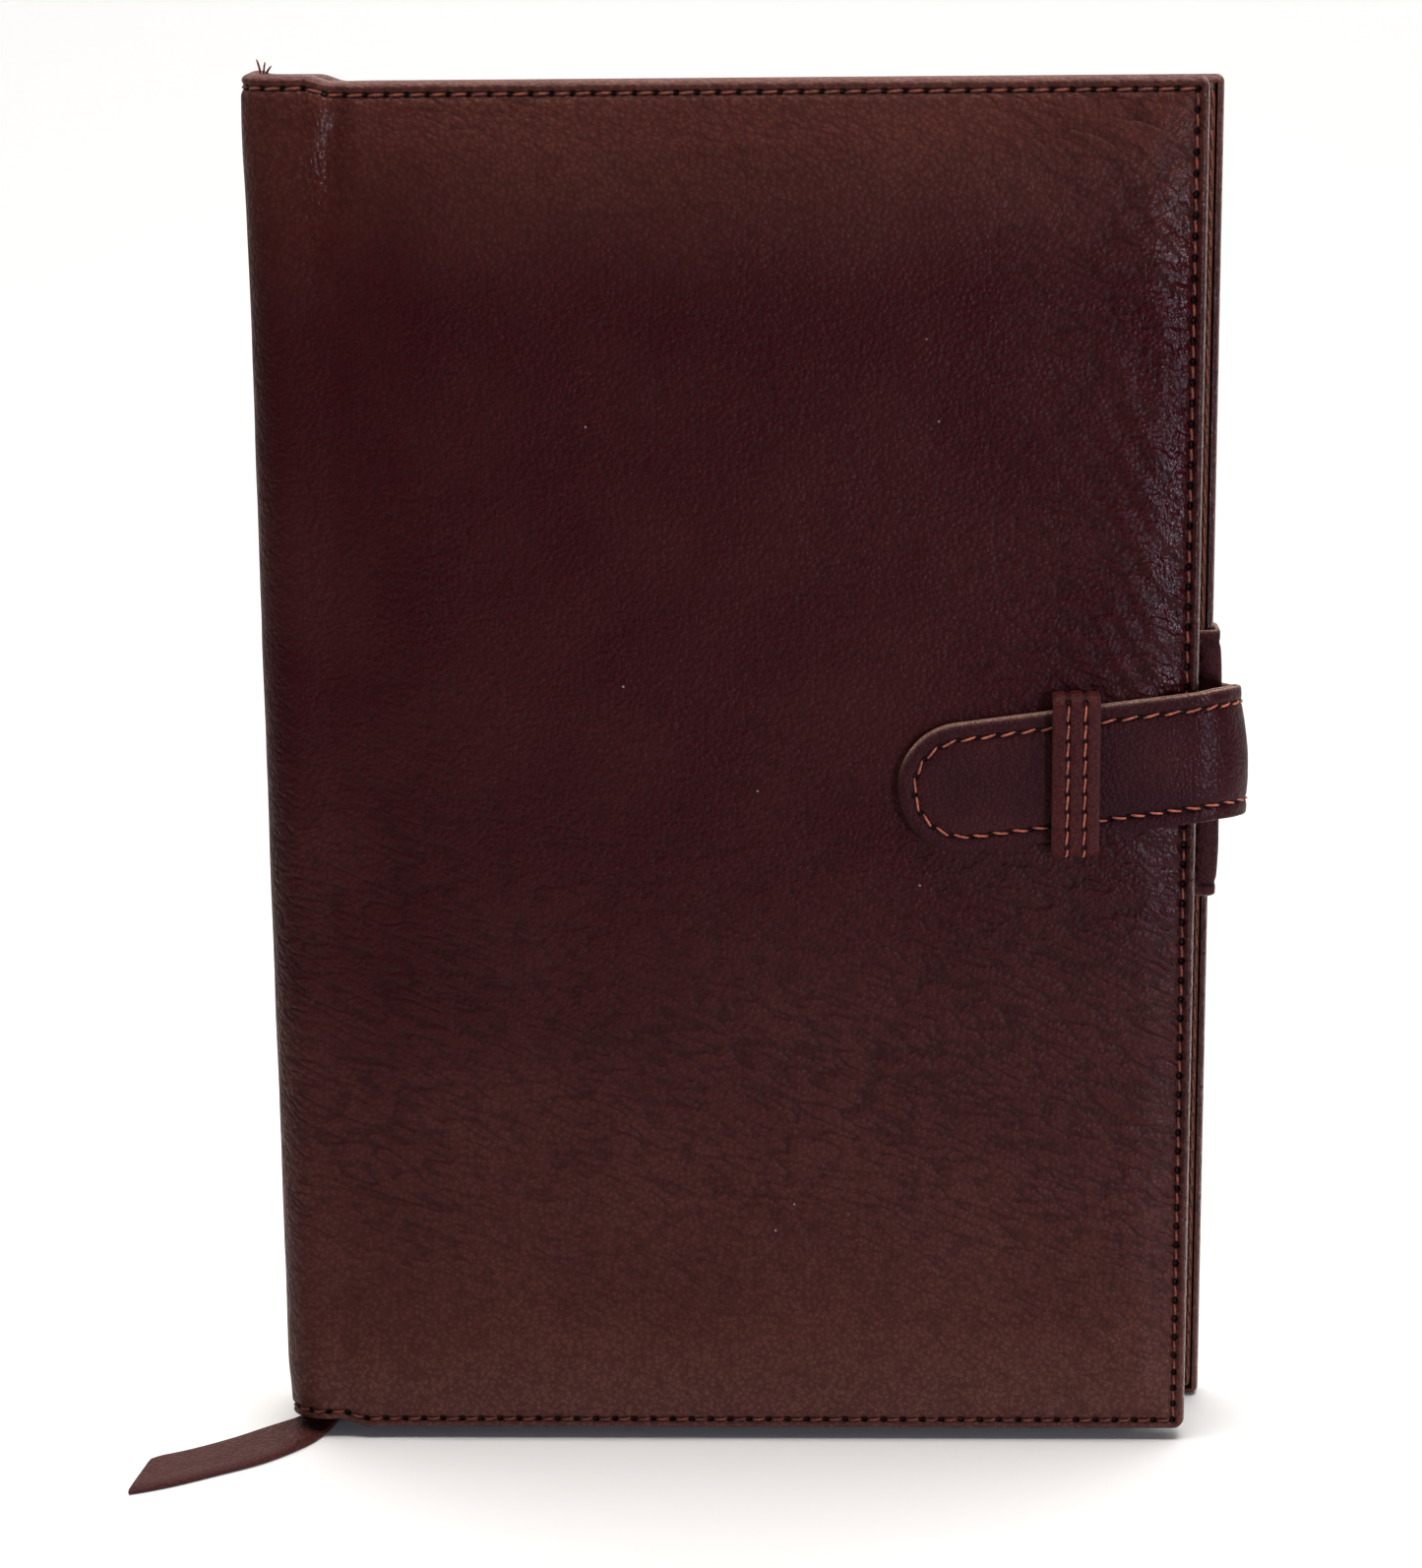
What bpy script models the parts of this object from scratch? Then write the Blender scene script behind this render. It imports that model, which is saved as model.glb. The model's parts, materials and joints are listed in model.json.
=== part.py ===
"""Leather notebook cover with a strap closure, standing closed on its lower edge.

Lengths are in millimetres and MM turns them into metres. +Z is up, the front
cover faces -Y and the fore edge points to +X. The origin is in the middle of
the back cover's thickness, on its lower edge. One outer hide runs round the
front, the spine and the back; it is split at the two creases, so that each
length can ride on its own board.
"""

import math

import bmesh
import bpy
from mathutils import Vector

MM = 0.001
GAP = 0.3  # clearance kept between neighbouring pieces

# Overall size of the closed cover
COVER_WIDTH = 148.0
COVER_HEIGHT = 222.0
BODY_THICKNESS = 24.0  # front face to back face
COVER_THICKNESS = 5.0  # one padded cover
BACK_OVERHANG = 4.0  # how far the back cover reaches past the front one
CORNER_RADIUS = 2.5

# One cover's layers, from the outside in
SKIN = 1.0  # outer leather
WALL = 1.2  # turned edge
PADDING = 1.0
BOARD = 1.4
POCKET_LEATHER = 0.8
CARD = 0.9
POCKET_LIFT = CARD + 2 * GAP

# Planes worked out from those sizes
SPINE_X = -COVER_WIDTH / 2
FORE_X = COVER_WIDTH / 2
BACK_FORE_X = FORE_X + BACK_OVERHANG
BACK_OUT = COVER_THICKNESS / 2
BACK_IN = BACK_OUT - COVER_THICKNESS
FRONT_OUT = BACK_OUT - BODY_THICKNESS
FRONT_IN = FRONT_OUT + COVER_THICKNESS

# Creases: the leather turns round an axis this far inside both of its faces
CREASE_RADIUS = 3.9
CREASE_X = SPINE_X + CREASE_RADIUS
BACK_CREASE_Y = BACK_OUT - CREASE_RADIUS
FRONT_CREASE_Y = FRONT_OUT + CREASE_RADIUS
PANEL_X = CREASE_X + GAP

# Spine
SPINE_LEATHER = 1.2
SPINE_BOARD = 0.8
SPINE_LINING = 0.6
SPINE_FOOT = 2.0  # the bookmark leaves under the spine's raised tail
SPINE_HEAD = 1.0  # the head cap stands this far above the covers

# Notebook held by the cover
REFILL_X0 = -64.1
REFILL_X1 = 71.4
REFILL_Z0 = 4.0
REFILL_Z1 = 219.0
REFILL_SPINE_CARD = 0.6
REFILL_CORNER = 3.0
CARD_X1 = REFILL_X1 - 1.0  # the cards end short of the pages, inside the pockets
SIGNATURES = 4
POCKET_X0 = -22.0

# Stitching: a thread laid this far inside the edges
THREAD_INSET = 2.4
THREAD_WIDTH = 0.5
THREAD_HEIGHT = 0.3
THREAD_START = 2.0  # the covers' threads start this far past the crease

# Closure strap and its keeper loop
STRAP_WIDTH = 21.0
STRAP_LEATHER = 1.0
STRAP_LINING = 0.8
STRAP_LIFT = 1.0
STRAP_TIP_X = 26.5
STRAP_ROOT_X = 46.0
STRAP_SLOPE = math.tan(math.radians(7.3))
STRAP_LEVEL = 113.8  # height of its centre line at the keeper
STRAP_TURN = 5.0  # radius in which it turns round the fore edge
STRAP_SIDE_X = 81.8
STRAP_STITCH_INSET = 2.6
STRAP_STITCH_END = 1.0  # the stitching stops this far before the turn
KEEPER_X = 54.5
KEEPER_WIDTH = 7.6
KEEPER_LEATHER = 1.2
KEEPER_Z0 = 100.6
KEEPER_Z1 = 126.8
KEEPER_ROWS = 2.7  # apart
KEEPER_FOLD = 1.5  # outer radius of its two folds
KEEPER_THREAD_INSET = 2.0
ANCHOR_Z0 = 88.0
ANCHOR_Z1 = 132.5
ANCHOR_LEATHER = 1.0
ANCHOR_REACH = 34.0
ANCHOR_LIP = 5.0
ANCHOR_FOLD = 1.2  # inside radius of the patch's fold on the back face

# Bookmark
BOOKMARK_THICKNESS = 1.0
BOOKMARK_AXIS = (-71.0, -17.5)
HEEL_WIDTH = 3.4  # length of the front cover's lifted corner, which clears it
HEEL_RISE = 1.4

ROUND_STEPS = 6


def material(name, colour, roughness):
    """A plain Principled material."""
    slot = bpy.data.materials.new(name)
    slot.use_nodes = True
    shader = slot.node_tree.nodes["Principled BSDF"]
    shader.inputs["Base Color"].default_value = (*colour, 1.0)
    shader.inputs["Roughness"].default_value = roughness
    shader.inputs["Metallic"].default_value = 0.0
    slot.diffuse_color = (*colour, 1.0)
    return slot


def pivot(name, x, y, parent=None):
    """An empty on a vertical joint axis."""
    empty = bpy.data.objects.new(name, None)
    empty.empty_display_size = 0.01
    empty.location = Vector((x, y, 0.0)) * MM
    bpy.context.collection.objects.link(empty)
    if parent:
        hang(empty, parent)
    return empty


def hang(piece, parent):
    """Parents a piece to a joint's empty and leaves it where it is."""
    bpy.context.view_layer.update()
    piece.parent = parent
    piece.matrix_parent_inverse = parent.matrix_world.inverted()


def points_in(builder, points):
    """Adds points in millimetres to a mesh being built."""
    return [builder.verts.new(Vector(p) * MM) for p in points]


def bridge(builder, low, high):
    """Quads between two loops of the same length."""
    for i, here in enumerate(low):
        after = (i + 1) % len(low)
        builder.faces.new((here, low[after], high[after], high[i]))


def finish(name, builder, slot, parent=None, smooth=False):
    """Turns a mesh being built into a named piece."""
    bmesh.ops.recalc_face_normals(builder, faces=builder.faces)
    mesh = bpy.data.meshes.new(name)
    builder.to_mesh(mesh)
    builder.free()
    if smooth:
        mesh.shade_smooth()
        mesh.set_sharp_from_angle(angle=math.radians(35))
    mesh.materials.append(slot)
    piece = bpy.data.objects.new(name, mesh)
    bpy.context.collection.objects.link(piece)
    if parent:
        hang(piece, parent)


def solid(name, rings, slot, parent=None, smooth=False):
    """A closed solid through rings of points, with both end rings filled."""
    builder = bmesh.new()
    loops = [points_in(builder, ring) for ring in rings]
    for low, high in zip(loops, loops[1:]):
        bridge(builder, low, high)
    builder.faces.new(loops[0])
    builder.faces.new(loops[-1])
    finish(name, builder, slot, parent, smooth)


def ring_solid(name, outer, inner, y0, y1, slot, parent=None):
    """A flat closed frame between two outlines."""
    builder = bmesh.new()
    rings = (facing(outer, y0), facing(outer, y1), facing(inner, y1), facing(inner, y0))
    loops = [points_in(builder, ring) for ring in rings]
    for k, low in enumerate(loops):
        bridge(builder, low, loops[(k + 1) % len(loops)])
    finish(name, builder, slot, parent)


def rounded(u0, u1, v0, v1, radius):
    """Corner points of a rectangle with round corners, anticlockwise."""
    centres = ((u1 - radius, v0 + radius), (u1 - radius, v1 - radius),
               (u0 + radius, v1 - radius), (u0 + radius, v0 + radius))
    points = []
    for quarter, (cu, cv) in enumerate(centres):
        for step in range(ROUND_STEPS + 1):
            turn = math.radians(90 * (quarter - 1) + 90 * step / ROUND_STEPS)
            points.append((cu + radius * math.cos(turn), cv + radius * math.sin(turn)))
    return points


def facing(outline, y):
    """An outline in x and z, placed at y."""
    return [(u, y, v) for u, v in outline]


def slab(name, x0, x1, z0, z1, y0, y1, slot, parent=None, radius=0.5):
    """A flat sheet lying parallel to the covers."""
    outline = rounded(x0, x1, z0, z1, radius)
    solid(name, [facing(outline, y0), facing(outline, y1)], slot, parent)


def upright(name, outline, z0, z1, slot, parent=None, smooth=False):
    """An outline in x and y, drawn up from z0 to z1."""
    rings = [[(x, y, z) for x, y in outline] for z in (z0, z1)]
    solid(name, rings, slot, parent, smooth)


def heeled(outline, x0, z0):
    """The same outline with its lower spine corner lifted clear of the bookmark."""
    steps = ((0.0, 1.2), (0.3, 0.5), (0.8, 0.1), (1.8, 0.0), (HEEL_WIDTH, 0.0),
             (HEEL_WIDTH + 0.5, -0.5 * HEEL_RISE), (HEEL_WIDTH + 1.2, -HEEL_RISE))
    lifted = [(x0 + dx, z0 + HEEL_RISE + dz) for dx, dz in steps]
    return outline[:-len(lifted)] + lifted


def tray(name, x0, x1, y_out, y_in, slot, parent=None, heel=False):
    """Outer leather of one cover: a skin with its edges turned inwards."""
    sign = 1 if y_in > y_out else -1
    rim = rounded(x0, x1, 0.0, COVER_HEIGHT, CORNER_RADIUS)
    well = rounded(x0 + WALL, x1 - WALL, WALL, COVER_HEIGHT - WALL, CORNER_RADIUS - WALL)
    if heel:
        rim = heeled(rim, x0, 0.0)
        well = heeled(well, x0 + WALL, WALL)
    rings = [facing(rim, y_out), facing(rim, y_in), facing(well, y_in),
             facing(well, y_out + sign * SKIN)]
    solid(name, rings, slot, parent)


def cover(side, x1, y_out, y_in, slots, parent=None):
    """Every layer of one padded cover and of its inside pocket."""
    sign = 1 if y_in > y_out else -1
    tray(f"{side}_leather", PANEL_X, x1, y_out, y_in, slots["hide"], parent, heel=bool(parent))
    x_a = PANEL_X + WALL + GAP
    x_b = x1 - WALL - GAP
    z_a = WALL + GAP + (HEEL_RISE if parent else 0.0)
    z_b = COVER_HEIGHT - WALL - GAP
    depth = SKIN + GAP
    layers = (("padding", PADDING, "foam"), ("board", BOARD, "board"))
    for layer, thickness, slot in layers:
        near = y_out + sign * depth
        slab(f"{side}_{layer}", x_a, x_b, z_a, z_b, near, near + sign * thickness, slots[slot], parent)
        depth += thickness + GAP
    near = y_out + sign * depth
    slab(f"{side}_lining", x_a, x_b, z_a, z_b, near, y_in, slots["lining"], parent)
    pocket(side, FORE_X - WALL, y_in, sign, slots["lining"], parent)
    card_y = y_in + sign * (2 * GAP)
    slab(f"notebook_{side}_card", REFILL_X0, CARD_X1, REFILL_Z0, REFILL_Z1,
         card_y, card_y + sign * CARD, slots["card"], parent, radius=REFILL_CORNER)


def pocket(side, x1, y_in, sign, slot, parent):
    """Inside pocket: a leather sheet sewn down on three edges, open to the spine."""
    z0 = WALL + GAP
    z1 = COVER_HEIGHT - WALL - GAP
    seam_z0 = REFILL_Z0 - GAP
    seam_z1 = REFILL_Z1 + GAP
    seam_x = CARD_X1 + GAP
    base = y_in + sign * GAP
    floor = base + sign * POCKET_LIFT
    top = floor + sign * POCKET_LEATHER
    edge = [(POCKET_X0, z0), (x1, z0), (x1, z1), (POCKET_X0, z1)]
    seam = edge + [(POCKET_X0, seam_z1), (seam_x, seam_z1), (seam_x, seam_z0), (POCKET_X0, seam_z0)]
    builder = bmesh.new()
    sheet_top = points_in(builder, facing(edge, top))
    outer_low = points_in(builder, facing(seam, base))
    under = points_in(builder, facing(seam[4:], floor))
    corners = outer_low[:4]
    for i in (0, 1, 2):
        builder.faces.new((sheet_top[i], sheet_top[i + 1], corners[i + 1], corners[i]))
    builder.faces.new(sheet_top)
    builder.faces.new(outer_low)
    builder.faces.new(under)
    for i in (0, 1, 2):
        builder.faces.new((outer_low[4 + i], outer_low[5 + i], under[i + 1], under[i]))
    builder.faces.new((sheet_top[3], sheet_top[0], corners[0], outer_low[7], under[3], under[0],
                       outer_low[4], corners[3]))
    finish(f"{side}_pocket", builder, slot, parent)


def arc(cx, cy, radius, start, end, steps=ROUND_STEPS):
    """Points along an arc, in degrees."""
    points = []
    for step in range(steps + 1):
        turn = math.radians(start + (end - start) * step / steps)
        points.append((cx + radius * math.cos(turn), cy + radius * math.sin(turn)))
    return points


def crease(name, y, start, z0, z1, slot, parent=None):
    """Quarter-round length of the hide at a crease, which bends as the cover opens."""
    end = start + 90
    middle = CREASE_RADIUS - SPINE_LEATHER / 2
    trim = math.degrees(GAP / middle)
    outline = arc(CREASE_X, y, CREASE_RADIUS, start + trim, end - trim)
    outline += arc(CREASE_X, y, CREASE_RADIUS - SPINE_LEATHER, end - trim, start + trim)
    upright(name, outline, z0, z1, slot, parent, smooth=True)


def box_outline(x0, x1, y0, y1):
    """Corner points of a rectangle."""
    return [(x0, y0), (x1, y0), (x1, y1), (x0, y1)]


def spine(slots, parent):
    """Spine leather, its stiffener and lining, and the notebook's spine card."""
    y0 = FRONT_CREASE_Y + GAP
    y1 = BACK_CREASE_Y - GAP
    x = SPINE_X
    upright("spine_leather", box_outline(x, x + SPINE_LEATHER, y0, y1), SPINE_FOOT,
            COVER_HEIGHT + SPINE_HEAD, slots["hide"], parent)
    x += SPINE_LEATHER + GAP
    upright("spine_stiffener", box_outline(x, x + SPINE_BOARD, y0, y1), REFILL_Z0, REFILL_Z1,
            slots["board"], parent)
    x += SPINE_BOARD + GAP
    upright("spine_lining", box_outline(x, x + SPINE_LINING, y0, y1), REFILL_Z0, REFILL_Z1,
            slots["lining"], parent)
    x1 = REFILL_X0 - GAP
    pages_y = page_planes()
    upright("notebook_spine_card", box_outline(x1 - REFILL_SPINE_CARD, x1, pages_y[0], pages_y[1]),
            REFILL_Z0, REFILL_Z1, slots["card"], parent)


def page_planes():
    """Front and back planes of the page block, between the two pockets."""
    lift = GAP + POCKET_LIFT + POCKET_LEATHER
    return FRONT_IN + lift + GAP, BACK_IN - lift - GAP


def pages(slots):
    """The notebook's sewn signatures."""
    y0, y1 = page_planes()
    pitch = (y1 - y0 + GAP) / SIGNATURES
    for i in range(SIGNATURES):
        low = y0 + i * pitch
        slab(f"page_signature_{i + 1}", REFILL_X0, REFILL_X1, REFILL_Z0, REFILL_Z1,
             low, low + pitch - GAP, slots["paper"], radius=REFILL_CORNER)


def seam_run(name, x_open, x_far, y, out, slot, parent=None):
    """Thread along the top, the fore edge and the bottom of a cover."""
    z0 = THREAD_INSET
    z1 = COVER_HEIGHT - THREAD_INSET
    w = THREAD_WIDTH
    outline = [(x_open, z0), (x_far, z0), (x_far, z1), (x_open, z1),
               (x_open, z1 - w), (x_far - w, z1 - w), (x_far - w, z0 + w), (x_open, z0 + w)]
    near = y + out * GAP
    solid(name, [facing(outline, near), facing(outline, near + out * THREAD_HEIGHT)],
                 slot, parent)


def strap_planes():
    """Middle planes of the strap's outer leather on the front and on the back."""
    front = FRONT_OUT - STRAP_LIFT - STRAP_LINING - GAP - STRAP_LEATHER / 2
    stack = GAP + THREAD_HEIGHT + GAP + ANCHOR_LEATHER + GAP
    back = BACK_OUT + stack + STRAP_LINING + GAP + STRAP_LEATHER / 2
    return front, back


def strap_level(x):
    """Height of the strap's centre line; level once it has turned the fore edge."""
    turn_x = STRAP_SIDE_X - STRAP_TURN
    return STRAP_LEVEL + (min(x, turn_x) - KEEPER_X) * STRAP_SLOPE


def band(name, path, thickness, half_widths, slot, parent=None):
    """A strip through path points (x, y, normal x, normal y) with vertical ends."""
    rings = []
    for (x, y, nx, ny), half in zip(path, half_widths):
        level = strap_level(x)
        t = thickness / 2
        rings.append([(x - nx * t, y - ny * t, level - half), (x + nx * t, y + ny * t, level - half),
                      (x + nx * t, y + ny * t, level + half), (x - nx * t, y - ny * t, level + half)])
    solid(name, rings, slot, parent, smooth=True)


def strap_paths(inset):
    """Root, side and tongue paths of a strap layer set this far inside the outer one."""
    front, back = strap_planes()
    cx = STRAP_SIDE_X - STRAP_TURN
    r = STRAP_TURN - inset
    back_cy = back - STRAP_TURN
    front_cy = front + STRAP_TURN
    trim = math.degrees(GAP / STRAP_TURN) / 2

    def turned(cy, start, end):
        path = []
        for step in range(ROUND_STEPS + 1):
            a = math.radians(start + (end - start) * step / ROUND_STEPS)
            path.append((cx + r * math.cos(a), cy + r * math.sin(a), math.cos(a), math.sin(a)))
        return path

    root = [(STRAP_ROOT_X, back_cy + r, 0, 1), (cx - GAP / 2, back_cy + r, 0, 1)]
    side = turned(back_cy, 90 - trim, 0) + turned(front_cy, 0, -45 + trim)
    radius = STRAP_WIDTH / 2 - inset / 4
    tongue = turned(front_cy, -45 - trim, -90)
    widths = [radius] * len(tongue)
    for step in range(2 * ROUND_STEPS):
        a = math.radians(90 * step / (2 * ROUND_STEPS))
        tongue.append((STRAP_TIP_X + radius * (1 - math.sin(a)), front_cy - r, 0, -1))
        widths.append(radius * math.cos(a))
    return root, side, tongue, widths


def strap(slots, side_parent, tongue_parent):
    """Two-layer strap: sewn root, the length round the fore edge, and the tongue."""
    layers = (("outer", STRAP_LEATHER, 0.0, "strap"),
              ("lining", STRAP_LINING, STRAP_LEATHER / 2 + GAP + STRAP_LINING / 2, "lining"))
    for layer, thickness, inset, slot in layers:
        root, side, tongue, widths = strap_paths(inset)
        full = STRAP_WIDTH / 2
        band(f"strap_root_{layer}", root, thickness, [full] * len(root), slots[slot])
        band(f"strap_side_{layer}", side, thickness, [full] * len(side), slots[slot], side_parent)
        band(f"strap_tongue_{layer}", tongue, thickness, widths, slots[slot], tongue_parent)


def strap_stitching(slots, parent):
    """Thread that follows the tongue's rounded end."""
    front = strap_planes()[0] - STRAP_LEATHER / 2 - GAP
    outer = STRAP_WIDTH / 2 - STRAP_STITCH_INSET
    tip = STRAP_TIP_X + STRAP_WIDTH / 2
    far = STRAP_SIDE_X - STRAP_TURN - STRAP_STITCH_END

    def run(radius):
        round_end = arc(tip, 0.0, radius, 90, 270, 2 * ROUND_STEPS)
        return [(far, radius)] + round_end + [(far, -radius)]

    outline = run(outer) + list(reversed(run(outer - THREAD_WIDTH)))
    sloped = [(x, strap_level(x) + rise) for x, rise in outline]
    solid("strap_thread", [facing(sloped, front), facing(sloped, front - THREAD_HEIGHT)],
          slots["thread"], parent)


def keeper(slots, parent):
    """Keeper loop sewn on the front, with the strap passing through it."""
    clear = STRAP_LEATHER / 2 + GAP + THREAD_HEIGHT + GAP
    inner = strap_planes()[0] - clear
    outer = inner - KEEPER_LEATHER
    foot = FRONT_OUT - GAP
    z0, z1, t = KEEPER_Z0, KEEPER_Z1, KEEPER_LEATHER
    profile = [(foot, z0), (foot, z0 + t)]
    profile += [(inner, z0 + t), (inner, z1 - t), (foot, z1 - t), (foot, z1)]
    r = KEEPER_FOLD
    profile += arc(outer + r, z1 - r, r, 90, 180) + arc(outer + r, z0 + r, r, 180, 270)
    x0 = KEEPER_X - KEEPER_WIDTH / 2
    rings = [[(x, y, z) for y, z in profile] for x in (x0, x0 + KEEPER_WIDTH)]
    solid("keeper_loop", rings, slots["strap"], parent)
    face = outer - GAP
    half = KEEPER_ROWS / 2 + THREAD_WIDTH / 2
    w = THREAD_WIDTH
    low, high = z0 + KEEPER_THREAD_INSET, z1 - KEEPER_THREAD_INSET
    slab_ring = box_outline(KEEPER_X - half, KEEPER_X + half, low, high)
    inner_ring = box_outline(KEEPER_X - half + w, KEEPER_X + half - w, low + w, high - w)
    ring_solid("keeper_thread", slab_ring, inner_ring, face, face - THREAD_HEIGHT,
               slots["thread"], parent)


def strap_anchor(slots):
    """Patch folded round the back cover's fore edge, under the strap's root."""
    a = ANCHOR_LEATHER
    back = BACK_OUT + GAP + THREAD_HEIGHT + GAP
    side = BACK_FORE_X + GAP
    front = BACK_IN - GAP
    cx, cy = side - ANCHOR_FOLD, back - ANCHOR_FOLD
    lip = side - ANCHOR_LIP
    outline = [(side - ANCHOR_REACH, back)] + arc(cx, cy, ANCHOR_FOLD, 90, 0)
    outline += [(side, front), (lip, front), (lip, front - a), (side + a, front - a)]
    outline += arc(cx, cy, ANCHOR_FOLD + a, 0, 90) + [(side - ANCHOR_REACH, back + a)]
    upright("strap_anchor", outline, ANCHOR_Z0, ANCHOR_Z1, slots["strap"], smooth=True)


def bookmark(slots, parent):
    """Leather ribbon: up inside the hollow spine, out under its tail, along the table."""
    flat = BOOKMARK_THICKNESS / 2
    # x, y, z, half width, direction of the width in degrees; from the tip inwards
    stations = (
        (-96.2, -38.3, flat, 6.5, -97),
        (-88.5, -33.7, flat, 5.5, -60),
        (-80.5, -28.0, flat, 5.5, -52),
        (-74.5, -21.8, flat, 5.0, -42),
        (-71.0, -17.0, flat, 3.8, -34),
        (-69.2, -13.8, 0.9, 3.0, -32),
        (-68.3, -12.0, 2.6, 2.8, -32),
        (-67.8, -11.2, 6.0, 2.6, -34),
        (-67.6, -11.0, 20.0, 2.6, -38),
        (-67.6, -11.0, 214.0, 2.6, -38),
    )
    centres = [Vector(s[:3]) for s in stations]
    rings = []
    for i, (x, y, z, half, angle) in enumerate(stations):
        along = (centres[min(i + 1, len(centres) - 1)] - centres[max(i - 1, 0)]).normalized()
        across = Vector((math.cos(math.radians(angle)), math.sin(math.radians(angle)), 0.0))
        up = across.cross(along).normalized()
        centre = centres[i]
        rings.append([centre + across * (half * u) + up * (flat * v)
                      for u, v in ((-1, -1), (1, -1), (1, 1), (-1, 1))])
    solid("bookmark_ribbon", rings, slots["strap"], parent, smooth=True)


def build():
    """Clears the scene and makes every piece."""
    for old in list(bpy.data.objects):
        bpy.data.objects.remove(old, do_unlink=True)
    slots = {
        "hide": material("hide", (0.052, 0.015, 0.014), 0.48),
        "strap": material("strap_hide", (0.060, 0.021, 0.016), 0.5),
        "lining": material("lining_hide", (0.085, 0.036, 0.022), 0.6),
        "board": material("board", (0.32, 0.25, 0.17), 0.85),
        "foam": material("foam", (0.55, 0.53, 0.48), 0.9),
        "card": material("card", (0.030, 0.018, 0.014), 0.7),
        "paper": material("paper", (0.78, 0.73, 0.62), 0.85),
        "thread": material("thread", (0.33, 0.085, 0.035), 0.65),
    }
    spine_axis = pivot("spine_axis", CREASE_X, BACK_CREASE_Y)
    front_axis = pivot("front_axis", CREASE_X, FRONT_CREASE_Y, spine_axis)
    front_plane, back_plane = strap_planes()
    turn_x = STRAP_SIDE_X - STRAP_TURN
    strap_axis = pivot("strap_axis", turn_x, back_plane - STRAP_TURN)
    tongue_axis = pivot("tongue_axis", turn_x, front_plane + STRAP_TURN, strap_axis)
    bookmark_axis = pivot("bookmark_axis", *BOOKMARK_AXIS, spine_axis)

    cover("back", BACK_FORE_X, BACK_OUT, BACK_IN, slots)
    pages(slots)
    seam_run("back_thread", CREASE_X + THREAD_START, BACK_FORE_X - THREAD_INSET, BACK_OUT, 1,
             slots["thread"])
    crease("back_crease_leather", BACK_CREASE_Y, 90, SPINE_FOOT, COVER_HEIGHT, slots["hide"])
    spine(slots, spine_axis)
    crease("front_crease_leather", FRONT_CREASE_Y, 180, SPINE_FOOT, COVER_HEIGHT, slots["hide"],
           spine_axis)
    cover("front", FORE_X, FRONT_OUT, FRONT_IN, slots, front_axis)
    seam_run("front_thread", CREASE_X + THREAD_START, FORE_X - THREAD_INSET, FRONT_OUT, -1, slots["thread"],
             front_axis)
    keeper(slots, front_axis)
    strap_anchor(slots)
    strap(slots, strap_axis, tongue_axis)
    strap_stitching(slots, tongue_axis)
    bookmark(slots, bookmark_axis)


build()
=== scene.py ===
"""Looks of the leather notebook cover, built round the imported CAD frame.

Every place comes from the CAD nodes' boxes. Lengths are in millimetres in the
functions below, and MM turns them into metres where a mesh is made. The front
cover faces -Y, the spine is at -X and the cover stands on z = 0.
"""

import json
import math
from types import SimpleNamespace

import bmesh
import bpy
import numpy as np
from mathutils import Matrix, Vector


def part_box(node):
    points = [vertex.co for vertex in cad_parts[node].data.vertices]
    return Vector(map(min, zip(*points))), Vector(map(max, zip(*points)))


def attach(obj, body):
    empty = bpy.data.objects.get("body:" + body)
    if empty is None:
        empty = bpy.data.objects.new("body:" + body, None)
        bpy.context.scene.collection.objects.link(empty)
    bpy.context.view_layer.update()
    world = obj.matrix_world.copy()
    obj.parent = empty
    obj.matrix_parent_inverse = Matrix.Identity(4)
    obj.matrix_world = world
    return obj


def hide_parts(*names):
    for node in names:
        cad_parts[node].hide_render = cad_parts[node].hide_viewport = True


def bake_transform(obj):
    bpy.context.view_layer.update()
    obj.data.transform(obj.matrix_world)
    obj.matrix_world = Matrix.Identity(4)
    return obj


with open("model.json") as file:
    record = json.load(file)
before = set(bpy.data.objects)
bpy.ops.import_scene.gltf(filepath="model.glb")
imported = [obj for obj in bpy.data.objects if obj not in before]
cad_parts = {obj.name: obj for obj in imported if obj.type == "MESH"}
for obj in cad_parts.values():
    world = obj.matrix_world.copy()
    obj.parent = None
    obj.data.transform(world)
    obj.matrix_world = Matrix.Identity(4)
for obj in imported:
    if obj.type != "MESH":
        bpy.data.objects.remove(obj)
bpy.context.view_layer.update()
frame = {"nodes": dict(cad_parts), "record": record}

MM = 0.001


def mm_box(node):
    """Lowest and highest corner of a CAD node, in millimetres."""
    return [np.array(corner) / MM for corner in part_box(node)]


# Places read from the frame
FRONT = mm_box("front_leather")
BACK = mm_box("back_leather")
SPINE = mm_box("spine_leather")
STRAP_TONGUE = mm_box("strap_tongue_outer")
STRAP_SIDE = mm_box("strap_side_outer")
STRAP_ROOT = mm_box("strap_root_outer")
KEEPER = mm_box("keeper_loop")
ANCHOR = mm_box("strap_anchor")
JOINT_AT = {j["name"]: np.array(j["pos_m"]) / MM for j in frame["record"]["behaviour"]["joints"]}

FRONT_OUT = FRONT[0][1]
BACK_OUT = BACK[1][1]
SPINE_X = SPINE[0][0]
FORE_X = FRONT[1][0]
BACK_FORE_X = BACK[1][0]
HEIGHT = FRONT[1][2]
SPINE_MID_Y = (FRONT_OUT + BACK_OUT) / 2

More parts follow.
